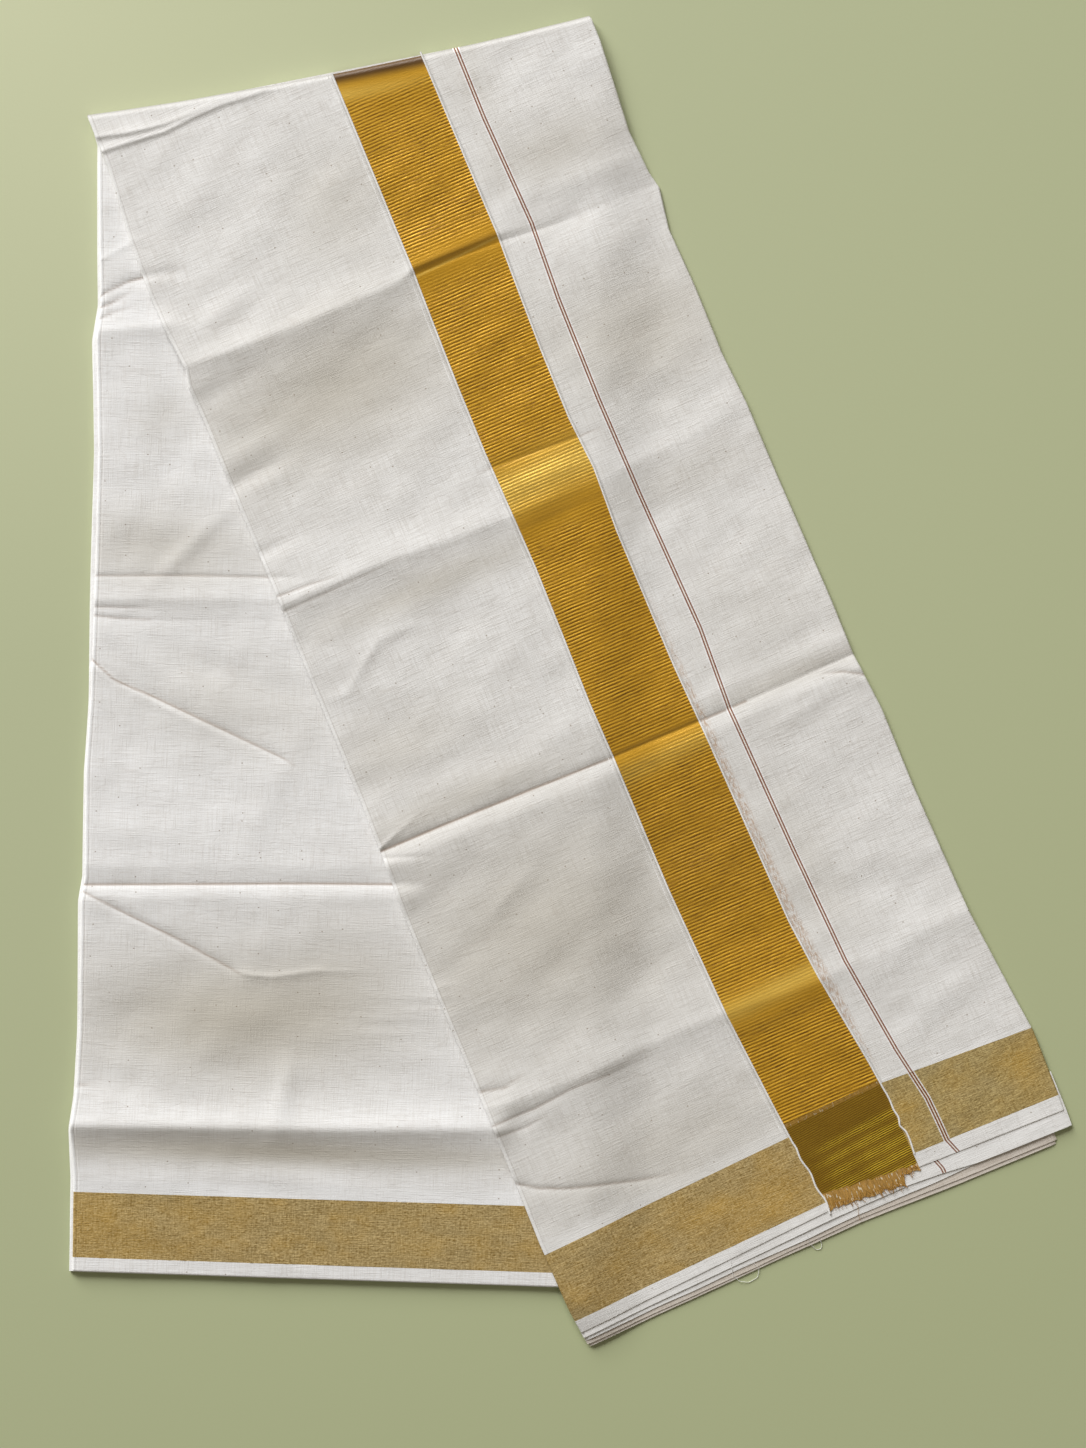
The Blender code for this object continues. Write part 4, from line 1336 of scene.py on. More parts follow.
@dataclass(frozen=True)
class HandloomCotton(StripedWeave):
    """Unbleached handloom cotton: uneven yarn gives fine crossed lines and a few dark flecks."""

    light: str = "#fcfbf9"
    shade: str = "#dcd8d2"
    # The beige of the patches of uneven tone and painted shade
    beige: str = "#c6bfb0"
    fleck: str = "#8f7d68"
    thin: str = "#c9b3a0"
    # The colour of the painted shade round the top fold and beside the border's cord
    turned: str = "#a5a29d"
    # The colour of the painted shade in the groove inside a woven edge
    line: str = "#a8a097"

    def flecks(self, tree: NodeTree) -> NodeSocket:
        """Bits of seed husk left in the yarn: small dark specks, far apart.

        Args:
            tree: The tree.

        Returns:
            The share at each place.
        """
        scale = (1.0 / (FLECK_ACROSS * MM), 1.0 / (FLECK_ALONG * MM), 1.0)
        place = add_node(tree, "ShaderNodeUVMap", out="UV", uv_map="cloth")
        place = add_node(tree, "ShaderNodeVectorMath", {0: place, 1: scale}, 0, operation="MULTIPLY")
        inputs = {"Vector": place, "Scale": 1.0}
        cells = add_node(tree, "ShaderNodeTexVoronoi", inputs, voronoi_dimensions="2D")
        inputs = {0: cells.outputs["Distance"], 1: 0.02, 2: 0.05, 3: 1.0, 4: 0.0}
        near = add_node(tree, "ShaderNodeMapRange", inputs, 0)
        pick = add_node(tree, "ShaderNodeSeparateColor", {0: cells.outputs["Color"]}, 0)
        some = add_node(tree, "ShaderNodeMapRange", {0: pick, 1: 0.80, 2: 0.86, 4: 0.75}, 0)
        return weighed(tree, ((near, some),))

    def build(self) -> Material:
        """Make the material.

        Returns:
            The material.
        """
        material, tree, shader = self.start()
        # The real yarns are 0.2 mm, drawn coarser: some thicker ones show as lines both ways
        made = patterns(tree, (
            # name, across, along, grain, low, high
            ("weft", 26.0, 0.8, 2.0, 0.44, 0.66),
            ("warp", 0.8, 26.0, 2.0, 0.44, 0.66),
            ("thick_weft", 22.0, 1.0, 1.0, 0.62, 0.68),
            ("thick_warp", 1.0, 24.0, 1.0, 0.62, 0.68),
            ("grain", 1.1, 1.1, 1.0, 0.30, 0.70),
            ("crepe", 12.0, 6.0, 2.0, 0.30, 0.70),
            ("cloud", 42.0, 30.0, 2.0, 0.38, 0.70),
            ("dashes", 1.2, 5.0, 2.0, 0.40, 0.62),
            ("wrinkle", 60.0, 34.0, 2.0, 0.0, 1.0),
        ))
        # Numbers that a piece's points carry, each 0 where it has none
        marked = {
            name: add_node(tree, "ShaderNodeAttribute", out="Fac", attribute_name=name)
            for name in ("dense", "tone_and_shade", "painted_shade", "thin", "turned", "rim", "beside")
        }
        both = weighed(tree, ((made["weft"], 0.40), (made["warp"], 0.36), (made["grain"], 0.24)))
        thick = weighed(tree, ((made["thick_weft"], 0.30), (made["thick_warp"], 0.30)))
        calm = weighed(tree, ((marked["dense"], -0.75), (1.0, 1.0)))
        black, white = linear("#000000"), linear("#ffffff")
        # Fine hairline wrinkles with a little painted shade, the painted shade of the groove inside a woven
        # edge, and the painted shadow beside the border's thick cord
        hairlines, line, cord_shadow = (
            add_node(
                tree, "ShaderNodeValToRGB", {0: value}, 0,
                stops=((low, black), (top, white), (high, black)),
            )
            for value, low, top, high in (
                (made["wrinkle"], 0.488, 0.5, 0.512),
                (marked["rim"], 0.80, 0.83, 0.86),
                (marked["beside"], 0.82, 0.90, 0.97),
            )
        )
        # A woven edge is white where it is doubled; the white is partly a painted highlight on its rolled
        # edge
        edge = add_node(tree, "ShaderNodeMapRange", {0: marked["rim"], 1: 0.85, 2: 0.88, 4: 0.6}, 0)
        colour = laid_over(tree, self.light, (
            # share, weight, colour
            (both, calm, self.shade),
            (thick, 1.0, self.shade),
            (made["cloud"], 0.25, self.shade),
            # Beige patches, partly painted shade in the hollows between folds
            (marked["tone_and_shade"], 1.0, self.beige),
            (hairlines, 0.06, self.painted_shade),
            (line, 0.28, self.line),
            (cord_shadow, 0.5, self.turned),
            (edge, 1.0, self.light),
            # Painted shade at the bottom of the sharp creases
            (marked["painted_shade"], 1.0, self.painted_shade),
            (self.flecks(tree), 1.0, self.fleck),
            # An open stretch of weave lets the darker layer under it show in dashes
            (marked["thin"], made["dashes"], self.thin),
            # Painted shade where the face turns away round the top fold
            (marked["turned"], 1.0, self.turned),
        ))
        colour = self.striped(tree, colour, made["grain"])
        height = weighed(tree, (
            (made["weft"], 0.24),
            (made["warp"], 0.22),
            (made["thick_weft"], 0.30),
            (made["thick_warp"], 0.30),
            (made["grain"], 0.22),
            (made["crepe"], 0.30),
            (hairlines, -0.16),
        ))
        self.end(tree, shader, colour, height, 0.6, 0.36)
        shader.inputs["Sheen Weight"].default_value = 0.1
        shader.inputs["Sheen Roughness"].default_value = 0.5
        return material


@dataclass(frozen=True)
class Zari(Finish):
    """Zari, silk wound with gilt strip, woven in raised ribs: a warm metal gleam with dark lines, each
    rib's shade and highlight painted in.
    """

    roughness: float = 0.42
    specular: float = 0.5
    dark: str = "#6c4406"
    middle: str = "#dba11c"
    light: str = "#ffcf4c"
    satin: str = "#dca62a"
    # The colours of the painted highlight at the folds and of the painted fold shade
    shine: str = "#ffd96a"
    press: str = "#4e3006"
    raw: str = "#cb9c50"
    tag: str = "#f0e2c4"
    metallic: float = 0.38

    def build(self) -> Material:
        """Make the material.

        Returns:
            The material.
        """
        material, tree, shader = self.start()
        made = patterns(tree, (
            # name, across, along, grain, low, high
            ("thread", 5.0, 0.8, 2.0, 0.30, 0.70),
            ("bend", 18.0, 7.0, 2.0, 0.30, 0.70),
            ("twist", 1.3, 1.0, 1.0, 0.30, 0.70),
            ("cloud", 26.0, 34.0, 2.0, 0.36, 0.68),
            ("worn", 9.0, 3.0, 2.0, 0.36, 0.64),
            ("fray", 0.9, 9.0, 2.0, 0.36, 0.66),
            ("tags", 1.5, 5.0, 1.0, 0.60, 0.68),
        ))
        # Numbers that a piece's points carry, each 0 where it has none
        marked = {
            name: add_node(tree, "ShaderNodeAttribute", out="Fac", attribute_name=name)
            for name in ("phase", "ribbed", "lit", "pressed", "shine", "raw")
        }
        # Each rib is painted with its shade and highlight, from a dark line up to a bright crest; the place
        # in a rib comes from the points
        place = weighed(tree, (
            (marked["phase"], 1.0),
            (made["bend"], 0.30),
            (made["thread"], 0.12),
            (1.0, 0.04),
        ))
        place = add_node(tree, "ShaderNodeMath", {0: place}, 0, operation="FRACT")
        dark, middle, light = linear(self.dark), linear(self.middle), linear(self.light)
        stops = ((0.0, dark), (0.13, dark), (0.28, middle), (0.50, light), (0.74, middle), (0.90, dark))
        ribs = add_node(tree, "ShaderNodeValToRGB", {0: place}, 0, stops=stops)
        share = weighed(tree, ((made["worn"], -0.3), (1.0, 1.0)))
        black, white = linear("#000000"), linear("#ffffff")
        stops = ((0.28, black), (0.5, white), (0.72, black))
        crest = add_node(tree, "ShaderNodeValToRGB", {0: place}, 0, stops=stops)
        # The border's raw end shows the silk core: frayed brown with a few whitish tags
        end = laid_over(tree, self.raw, ((made["fray"], 0.5, dark), (made["tags"], 1.0, self.tag)))
        colour = laid_over(tree, self.satin, (
            # share, weight, colour
            (made["thread"], 0.25, middle),
            (marked["ribbed"], share, ribs),
            (made["cloud"], 0.22, middle),
            (made["twist"], 0.10, dark),
            # Painted highlights on the crests of the bright clusters
            (marked["lit"], crest, light),
            # Painted highlights where the flattened gilt faces the light, and painted shade at the folds
            # and round the top fold
            (marked["shine"], 1.0, self.shine),
            (marked["pressed"], 1.0, self.press),
            (marked["raw"], 1.0, end),
        ))
        height = weighed(tree, ((made["thread"], 0.6), (made["twist"], 0.4)))
        self.end(tree, shader, colour, height, 0.25, 0.4)
        # Where the fold shade is painted, and at the raw end, the gilt has less metal gleam
        gleam = weighed(tree, (
            (marked["pressed"], -self.metallic),
            (marked["raw"], -0.25),
            (1.0, self.metallic),
        ))
        tree.links.new(gleam, shader.inputs["Metallic"])
        return material


@dataclass(frozen=True)
class Tissue(StripedWeave):
    """Tissue weave, gilt weft on a cotton warp: dull gold with fine crossed threads, yellow in places."""

    roughness: float = 0.5
    specular: float = 0.4
    light: str = "#e6cd94"
    shade: str = "#8f7238"
    yellow: str = "#d8a62e"
    grey: str = "#b3a176"
    metallic: float = 0.22

    def build(self) -> Material:
        """Make the material.

        Returns:
            The material.
        """
        material, tree, shader = self.start()
        made = patterns(tree, (
            # name, across, along, grain, low, high
            ("pebble", 2.2, 1.6, 2.0, 0.34, 0.66),
            ("weft", 12.0, 0.9, 2.0, 0.36, 0.64),
            ("warp", 0.9, 12.0, 2.0, 0.36, 0.64),
            ("bright", 30.0, 24.0, 2.0, 0.46, 0.70),
            ("dull", 24.0, 22.0, 2.0, 0.44, 0.72),
            ("speck", 0.9, 1.6, 1.0, 0.40, 0.60),
            ("glint", 3.0, 1.0, 1.0, 0.60, 0.70),
        ))
        # Numbers that a piece's points carry, each 0 where it has none
        marked = {
            name: add_node(tree, "ShaderNodeAttribute", out="Fac", attribute_name=name)
            for name in ("yellow", "painted_shade")
        }
        level = weighed(tree, ((made["pebble"], 0.48), (made["weft"], 0.38), (made["warp"], 0.28)))
        colour = laid_over(tree, self.light, (
            # share, weight, colour
            (level, 1.0, self.shade),
            (made["bright"], 0.20, self.yellow),
            (made["dull"], 0.25, self.grey),
            (marked["yellow"], 0.55, self.yellow),
            # Painted glints of the gilt weft
            (made["glint"], 0.7, self.light),
            (marked["painted_shade"], 1.0, self.painted_shade),
        ))
        colour = self.striped(tree, colour, made["speck"])
        self.end(tree, shader, colour, level, 0.4, 0.5)
        shader.inputs["Metallic"].default_value = self.metallic
        return material


@dataclass(frozen=True)
class CottonYarn(Finish):
    """Cotton yarn, plied: matt, with soft specks from its twist."""

    colour: str = "#fbfaf8"
    shade: str = "#e2ddd6"

    def build(self) -> Material:
        """Make the material.

        Returns:
            The material.
        """
        material, tree, shader = self.start()
        place = add_node(tree, "ShaderNodeTexCoord", out="Object")
        inputs = {"Vector": place, "Scale": 900.0, "Detail": 1.0}
        speck = add_node(tree, "ShaderNodeTexNoise", inputs, "Fac")
        share = add_node(tree, "ShaderNodeMapRange", {0: speck, 1: 0.45, 2: 0.75, 4: 0.8}, 0)
        colour = laid_over(tree, self.colour, ((share, 1.0, self.shade),))
        self.end(tree, shader, colour, speck, 0.1, 0.3)
        return material


@dataclass(frozen=True)
class PaintedBoard(Finish):
    """A painted board under the cloth: matt pale green, with painted light: palest at its far left corner,
    towards the window light, and darker away from it.
    """

    roughness: float = 0.8
    specular: float = 0.3
    lit_corner: tuple[float, float] = (-0.47, 0.56)
    reach: float = 1.36
    pale: str = "#d6dab4"
    middle: str = "#c3c9a2"
    deep: str = "#bbc297"

    def build(self) -> Material:
        """Make the material.

        Returns:
            The material.
        """
        material, tree, shader = self.start()
        place = add_node(tree, "ShaderNodeTexCoord", out="Object")
        inputs = {0: place, 1: (*self.lit_corner, 0.0)}
        away = add_node(tree, "ShaderNodeVectorMath", inputs, "Value", operation="DISTANCE")
        share = weighed(tree, ((away, 1.0 / self.reach),))
        stops = ((0.0, linear(self.pale)), (0.4, linear(self.middle)), (1.0, linear(self.deep)))
        colour = add_node(tree, "ShaderNodeValToRGB", {0: share}, 0, stops=stops)
        inputs = {"Vector": place, "Scale": 500.0, "Detail": 2.0}
        grain = add_node(tree, "ShaderNodeTexNoise", inputs, "Fac")
        self.end(tree, shader, colour, grain, 0.4, 0.1)
        return material


@dataclass
class Wardrobe:
    """The finished materials, each made once."""

    cotton: Material = field(init=False)
    lower_cotton_painted_lighter: Material = field(init=False)
    under: Material = field(init=False)
    zari: Material = field(init=False)
    crossing: Material = field(init=False)
    tissue: Material = field(init=False)
    tissue_pale: Material = field(init=False)
    yarn: Material = field(init=False)
    fray: Material = field(init=False)

    def __post_init__(self) -> None:
        """Make every material."""
        self.cotton = HandloomCotton("handloom_cotton").build()
        # A lighter copy of the cotton for the lower leg: painted light, as that leg lies nearer the window
        # light
        self.lower_cotton_painted_lighter = HandloomCotton(
            "handloom_cotton_lower_painted_lighter", light="#ffffff", shade="#e9e6e2",
        ).build()
        # A darker copy of the cotton for the deeper layer ends: painted shade
        self.under = HandloomCotton("handloom_cotton_ends_painted_shade", light="#ece4da", shade="#cfc2b2").build()
        self.zari = Zari("woven_zari").build()
        self.crossing = Zari(
            "woven_zari_crossing", dark="#5e4404", middle="#916708", light="#ffdc3c", satin="#825e08",
        ).build()
        self.tissue = Tissue("zari_tissue").build()
        self.tissue_pale = Tissue(
            "zari_tissue_pale", light="#dfc88a", shade="#8e743e", grey="#b8aa84",
        ).build()
        self.yarn = CottonYarn("plied_cotton_yarn").build()
        self.fray = CottonYarn("loose_silk_ends", colour="#b98a3c", shade="#8a5f22").build()


def dress(piece: Object, material: Material, nodes: tuple[str, ...]) -> None:
    """Give a piece its finish, its body and the solids that it stands for.

    Args:
        piece: The piece.
        material: Its material.
        nodes: The solids that it replaces.
    """
    if not piece.data.materials:
        piece.data.materials.append(material)
    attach(piece, "root")
    if nodes:
        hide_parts(*nodes)
    LOG.info("%s: %d faces", piece.name, len(piece.data.polygons))


def rounded_in(part: float) -> float:
    """How far a hidden layer's rounded side is drawn in.

    Args:
        part: The place on it, as a share of the layer's thickness.

    Returns:
        The distance, in millimetres.
    """
    return LAYER_ROUND * (1.0 - math.sqrt(1.0 - (2.0 * part - 1.0) ** 2))


@dataclass
class LowerLeg:
    """The leg of the folded cloth that lies underneath."""

    wardrobe: Wardrobe
    fine_cells: int = 63
    coarse_cells: int = 8

    def columns(self) -> list[Column]:
        """The columns of its face, fine where it shows at the left.

        Returns:
            The columns.
        """
        columns = rim_columns(Edge.LEFT)
        middle = 0.5
        for k in range(self.fine_cells + 1):
            share = middle * k / self.fine_cells
            columns.append(Column(Edge.LEFT, Edge.RIGHT, share, RIM_END * (1.0 - share / middle)))
        for k in range(1, self.coarse_cells + 1):
            share = middle + (1.0 - middle) * k / self.coarse_cells
            columns.append(Column(Edge.LEFT, Edge.RIGHT, share, -EDGE_RADIUS * (share - middle) / middle))
        return columns + rolled_columns(Edge.RIGHT, -1.0)[::-1]

    def points(self, rows: Array, columns: list[Column]) -> tuple[Array, Array]:
        """Points of its face.

        Args:
            rows: The rows.
            columns: The columns.

        Returns:
            The points and their places on the cloth.
        """
        along, across, drop = lay_out(LOWER, rows, columns)
        proud = LOWER.rim(along) - LOWER.edge(Edge.LEFT, along)
        share = np.clip((across - LOWER.edge(Edge.LEFT, along)) / PROUD_WIDTH, 0.0, 1.0)
        across = across + proud * (1.0 - share)
        x, y = LOWER.place(along, across)
        points = np.stack((x, y, np.maximum(lower_height(x, y) - drop, LOWEST_FACE)), axis=2)
        return points, np.stack((across, along), axis=2)

    def build_face(self) -> None:
        """Make the plain cotton of its face, its band and its folded end."""
        columns = self.columns()
        points, uv = self.points(spread_rows(LOWER_ROWS), columns)
        dense = smooth((uv[:, :, 1] - LOWER_DENSE[0]) / LOWER_DENSE[1])
        face = shell("lower_cotton_painted_lighter", points, uv, {"dense": dense, **LOWER.marks(uv)})
        dress(face, self.wardrobe.lower_cotton_painted_lighter, ("lower_face",))

        points, uv = self.points(spaced(LOWER_BAND_START, LOWER_BAND_END, 1.6), columns)
        points[:, :, 2] += ripple(uv[:, :, 0], uv[:, :, 1], 31, 0.03, 12, (5.0, 14.0))
        yellow = LOWER.patches(LOWER_YELLOW, uv[:, :, 1], uv[:, :, 0])
        band = shell("lower_tissue_band", points, uv, {"yellow": np.clip(yellow, 0.0, 0.8)})
        dress(band, self.wardrobe.tissue, ("lower_band",))

        turn = tuple(v - EDGE_RADIUS for v in LOWER_CLOTH_END[:2]) + (0.0,)
        points, uv = self.points(spaced(LOWER_BAND_END, turn, 1.2), columns)
        down, _ = LOWER.directions()
        lines, places = [points], [uv]
        for angle in ROLL_ANGLES:
            turned = math.radians(angle)
            reach = EDGE_RADIUS * math.sin(turned)
            line = points[-1:].copy()
            line[:, :, 0] += down[0] * reach
            line[:, :, 1] += down[1] * reach
            line[:, :, 2] = np.maximum(line[:, :, 2] - EDGE_RADIUS * (1.0 - math.cos(turned)), LOWEST_FACE)
            lines.append(line)
            places.append(uv[-1:] + np.array((0.0, EDGE_RADIUS * turned)))
        heading = shell("lower_folded_end", np.concatenate(lines), np.concatenate(places))
        dress(heading, self.wardrobe.lower_cotton_painted_lighter, ("lower_heading",))

    def build_pile(self) -> None:
        """Make the hidden layers, rounded and layered along their sides and end."""
        rows = spread_rows(LOWER_ROWS, 4.0)
        rows = np.concatenate((rows, spaced(LOWER_BAND_START, LOWER_CLOTH_END, 4.0)[1:]))
        rows[-1, :2] -= 0.4
        sides = []
        for side, edge, sign in ((0, Edge.LEFT, 1.0), (1, Edge.RIGHT, -1.0)):
            station = rows[:, side]
            rim = LOWER.edge(edge, station)
            x, y = LOWER.place(station, rim + sign * PILE_INWARD)
            top = lower_height(x, y) - PILE_BELOW
            lines = []
            for layer, extra in enumerate(LOWER_INSETS):
                wander = extra + 0.35 * np.sin(station / (31.0 + 7.0 * layer) + 2.0 * layer)
                for part in LAYER_PARTS:
                    height = np.minimum(top, 3.6) * (layer + part) / len(LOWER_INSETS)
                    px, py = LOWER.place(station, rim + sign * (wander + rounded_in(part)))
                    lines.append(np.stack((px, py, height), axis=1))
            lines.append(np.stack((x, y, top), axis=1))
            sides.append(lines)
        left, right = sides
        middle = []
        for k in range(1, 12):
            share = k / 12.0
            station = rows[:, 0] + (rows[:, 1] - rows[:, 0]) * share
            first = LOWER.edge(Edge.LEFT, rows[:, 0])
            across = first + (LOWER.edge(Edge.RIGHT, rows[:, 1]) - first) * share
            px, py = LOWER.place(station, across)
            middle.append(np.stack((px, py, lower_height(px, py) - 2.6), axis=1))
        outline = left + middle + right[::-1]
        pile = closed_tube("lower_pile", np.stack(outline, axis=1), LOWER)
        dress(pile, self.wardrobe.lower_cotton_painted_lighter, ("lower_layers",))


def closed_tube(name: str, rings: Array, leg: Leg) -> Object:
    """A closed body through rings of points, flat under and capped at both ends.

    Args:
        name: The piece's name.
        rings: A ring of points for each row, from its left foot over its top to its right foot.
        leg: The leg that it lies along.

    Returns:
        The object.
    """
    count_rows, around = rings.shape[:2]
    index = np.arange(count_rows * around).reshape(count_rows, around)
    onward = np.roll(index, -1, axis=1)
    faces = np.stack(
        (index[:-1].ravel(), index[1:].ravel(), onward[1:].ravel(), onward[:-1].ravel()), axis=1
    )
    along, across = leg.local(rings[:, :, 0], rings[:, :, 1])
    uv = np.stack((across, along + rings[:, :, 2]), axis=2).reshape(-1, 2) * MM
    caps = [index[0][None, :], index[-1][None, ::-1]]
    return mesh_object(name, rings.reshape(-1, 3) * MM, [faces, *caps], uv, {})


def panel_rows(panel: str, spacing: float = 0.0) -> Array:
    """The rows of a panel from the top fold to its band.

    Args:
        panel: Which panel.
        spacing: One spacing for all of them, or 0 for their own.

    Returns:
        The rows.
    """
    last = (*PANEL_ROWS[panel, "band_start"], UPPER_ROWS[-1][3])
    return spread_rows((*UPPER_ROWS[:-1], last), spacing)


@dataclass
class UpperLeg:
    """The leg of the folded cloth that lies on top, with the zari border down its middle."""

    wardrobe: Wardrobe
    left_cells: int = 76
    gold_cells: int = 16
    outer_cells: int = 38
    layers: int = 4
    border_width: float = 75.0
    crossing_width: float = 81.0

    def points(self, rows: Array, columns: list[Column], fold: bool = False) -> tuple[Array, Array]:
        """Points of its face, with the wrap round the top fold where asked.

        Args:
            rows: The rows.
            columns: The columns.
            fold: Whether the face goes round the top fold.

        Returns:
            The points and their places on the cloth.
        """
        along, across, drop = lay_out(UPPER, rows, columns)
        x, y = UPPER.place(along, across)
        height = upper_height(along, across)
        points = np.stack((x, y, np.maximum(height - drop, LOWEST_FACE)), axis=2)
        uv = np.stack((across, along), axis=2)
        if not fold:
            return points, uv
        down, _ = UPPER.directions()
        lines, places = [], []
        radius = height[0] / 2.0
        for k in range(FOLD_CELLS, 0, -1):
            angle = math.radians(FOLD_SPAN * k / FOLD_CELLS)
            reach = (radius - drop[0]) * math.sin(angle)
            rise = radius + (radius - drop[0]) * math.cos(angle)
            line = np.stack((x[0] - down[0] * reach, y[0] - down[1] * reach, rise), axis=1)
            lines.append(line[None])
            places.append((uv[0] - np.stack((np.zeros_like(radius), radius * angle), axis=1))[None])
        return np.concatenate((*lines, points)), np.concatenate((*places, uv))

    def left_columns(self) -> list[Column]:
        """The columns of the stretch left of the border."""
        spread = spread_columns(Edge.LEFT, Edge.GOLD_LEFT, self.left_cells, RIM_END)
        return rim_columns(Edge.LEFT) + spread

    def outer_columns(self, first: Edge, cells: int) -> list[Column]:
        """The columns from an edge to the right side of the leg.

        Args:
            first: The edge that they start at.
            cells: How many cells.

        Returns:
            The columns.
        """
        spread = spread_columns(first, Edge.RIGHT, cells, 0.0, -EDGE_RADIUS)
        return spread + rolled_columns(Edge.RIGHT, -1.0)[::-1]

    def ribs(self, uv: Array, rows_from_top: Array) -> tuple[Array, Array]:
        """The raised ribs of the zari.

        Args:
            uv: Places on the cloth.
            rows_from_top: How far each place lies below the top fold.

        Returns:
            How many ribs lie before each place, and how strongly they stand out there.
        """
        across, along = uv[:, :, 0], uv[:, :, 1]
        phase = (along + ripple(across, along, 71, 0.06, 8, (30.0, 90.0))) / RIB_SPACING
        strength = 0.9 + ripple(across, along, 73, 0.03, 8, (16.0, 60.0))
        for at, above, below, share in SMOOTH_PLACES:
            away = along - at
            width = np.where(away < 0.0, above, below)
            strength = strength * (1.0 - share * np.exp(-((away / width) ** 2)))
        left, right = UPPER_SECTIONS[0][2:4]
        slant = TOP_SMOOTH * (1.0 - 0.6 * (across - left) / (right - left))
        strength = strength * smooth((rows_from_top - 8.0) / slant)
        return phase, np.clip(strength, 0.0, 1.0)

    def turned(self, uv: Array) -> Array:
        """How far the face has turned away round the top fold, which sets the painted shade there.

        Args:
            uv: Places on the cloth, with the rows of the fold first.

        Returns:
            The share at each place.
        """
        first = uv[FOLD_CELLS:FOLD_CELLS + 1, :, 1]
        return smooth((first - uv[:, :, 1]) / FOLD_DARK)

    def cotton_marks(self, uv: Array, panel: str, depth: float) -> dict[str, Array]:
        """What the cotton's points carry.

        Args:
            uv: Places on the cloth, with the rows of the fold first.
            panel: Which panel of the leg.
            depth: How deep the closely woven strip above the band is.

        Returns:
            A number for each point, by the attribute's name.
        """
        left, right = (UPPER.edge(edge, uv[:, :, 1]) for edge in (Edge.GOLD_LEFT, Edge.GOLD_RIGHT))
        away = np.maximum(left - uv[:, :, 0], uv[:, :, 0] - right)
        beside = np.clip(1.0 - away / BESIDE_REACH, 0.0, 1.0)
        marks = {"dense": self.dense(uv, panel, depth), "turned": self.turned(uv), "beside": beside}
        return {**marks, **UPPER.marks(uv)}

    def dense(self, uv: Array, panel: str, depth: float) -> Array:
        """The closely woven white strip just above the bands.

        Args:
            uv: Places on the cloth.
            panel: Which panel of the leg.
            depth: How deep the strip is.

        Returns:
            The share at each place.
        """
        first, last = PANEL_ROWS[panel, "band_start"][:2]
        band = first + (last - first) * np.clip((uv[:, :, 0] - UPPER_CLOTH_LEFT) / UPPER_WIDTH, 0.0, 1.0)
        return smooth((uv[:, :, 1] - band + depth) / 2.0)

    def stripe(self, uv: Array) -> Array:
        """Where the line of dyed yarns lies: 1 at its left side, 2 at its right.

        Args:
            uv: Places on the cloth.

        Returns:
            The value at each place, which runs on beyond both sides.
        """
        left = UPPER.edge(Edge.THREAD_LEFT, uv[:, :, 1])
        return 1.0 + (uv[:, :, 0] - left) / (2.0 * THREAD_HALF)

    def build_cotton(self) -> None:
        """Make the plain cotton on both sides of the border, and the line of dyed yarns."""
        rows = panel_rows("left")
        cotton = self.wardrobe.cotton
        points, uv = self.points(rows, self.left_columns(), fold=True)
        left = shell("cotton_left_of_border", points, uv, self.cotton_marks(uv, "left", 11.0))
        dress(left, cotton, ("upper_face_left",))

        rows = panel_rows("right")
        columns = spread_columns(Edge.GOLD_RIGHT, Edge.THREAD_LEFT, 10)
        points, uv = self.points(rows, columns, fold=True)
        from_gold = uv[:, :, 0] - UPPER.edge(Edge.GOLD_RIGHT, uv[:, :, 1])
        station, width = np.array(OPEN_WEAVE).T
        open_width = np.interp(uv[:, :, 1], station, width)
        thin = np.clip((open_width - np.abs(from_gold - OPEN_WEAVE_AT)) / 3.0, 0.0, 1.0)
        marks = {"thin": thin, **self.cotton_marks(uv, "right", 6.0)}
        strip = shell("cotton_right_of_border", points, uv, marks)
        dress(strip, cotton, ("upper_face_right",))

        columns = spread_columns(Edge.THREAD_LEFT, Edge.THREAD_RIGHT, 10)
        points, uv = self.points(rows, columns, fold=True)
        stripe = self.stripe(uv)
        # Five yarn groups stand up a little from the cloth between them
        points[:, :, 2] += YARN_HEIGHT * np.sin(np.clip(stripe - 1.0, 0.0, 1.0) * 5.0 * math.pi) ** 2
        marks = {"stripe": stripe, **self.cotton_marks(uv, "right", 6.0)}
        lines = shell("double_thread_line", points, uv, marks)
        dress(lines, cotton, ("upper_face_right",))

        columns = self.outer_columns(Edge.THREAD_RIGHT, self.outer_cells)
        points, uv = self.points(rows, columns, fold=True)
        outer = shell("cotton_outer", points, uv, self.cotton_marks(uv, "right", 6.0))
        dress(outer, cotton, ("upper_face_right",))

    def build_border(self) -> None:
        """Make the zari border with its raised ribs, down to the crossing."""
        rows = panel_rows("middle", 0.56)
        columns = spread_columns(Edge.GOLD_LEFT, Edge.GOLD_RIGHT, self.gold_cells)
        points, uv = self.points(rows, columns, fold=True)
        from_top = uv[:, :, 1] - uv[FOLD_CELLS:FOLD_CELLS + 1, :, 1]
        phase, strength = self.ribs(uv, from_top)
        rise = 0.5 + 0.5 * np.sin(2.0 * math.pi * phase) - RIB_LEVEL
        points += grid_normals(points) * (RIB_HEIGHT * rise * strength)[:, :, None]
        slant = 0.5 * (uv[:, :, 0] - UPPER.edge(Edge.GOLD_LEFT, uv[:, :, 1])) / self.border_width
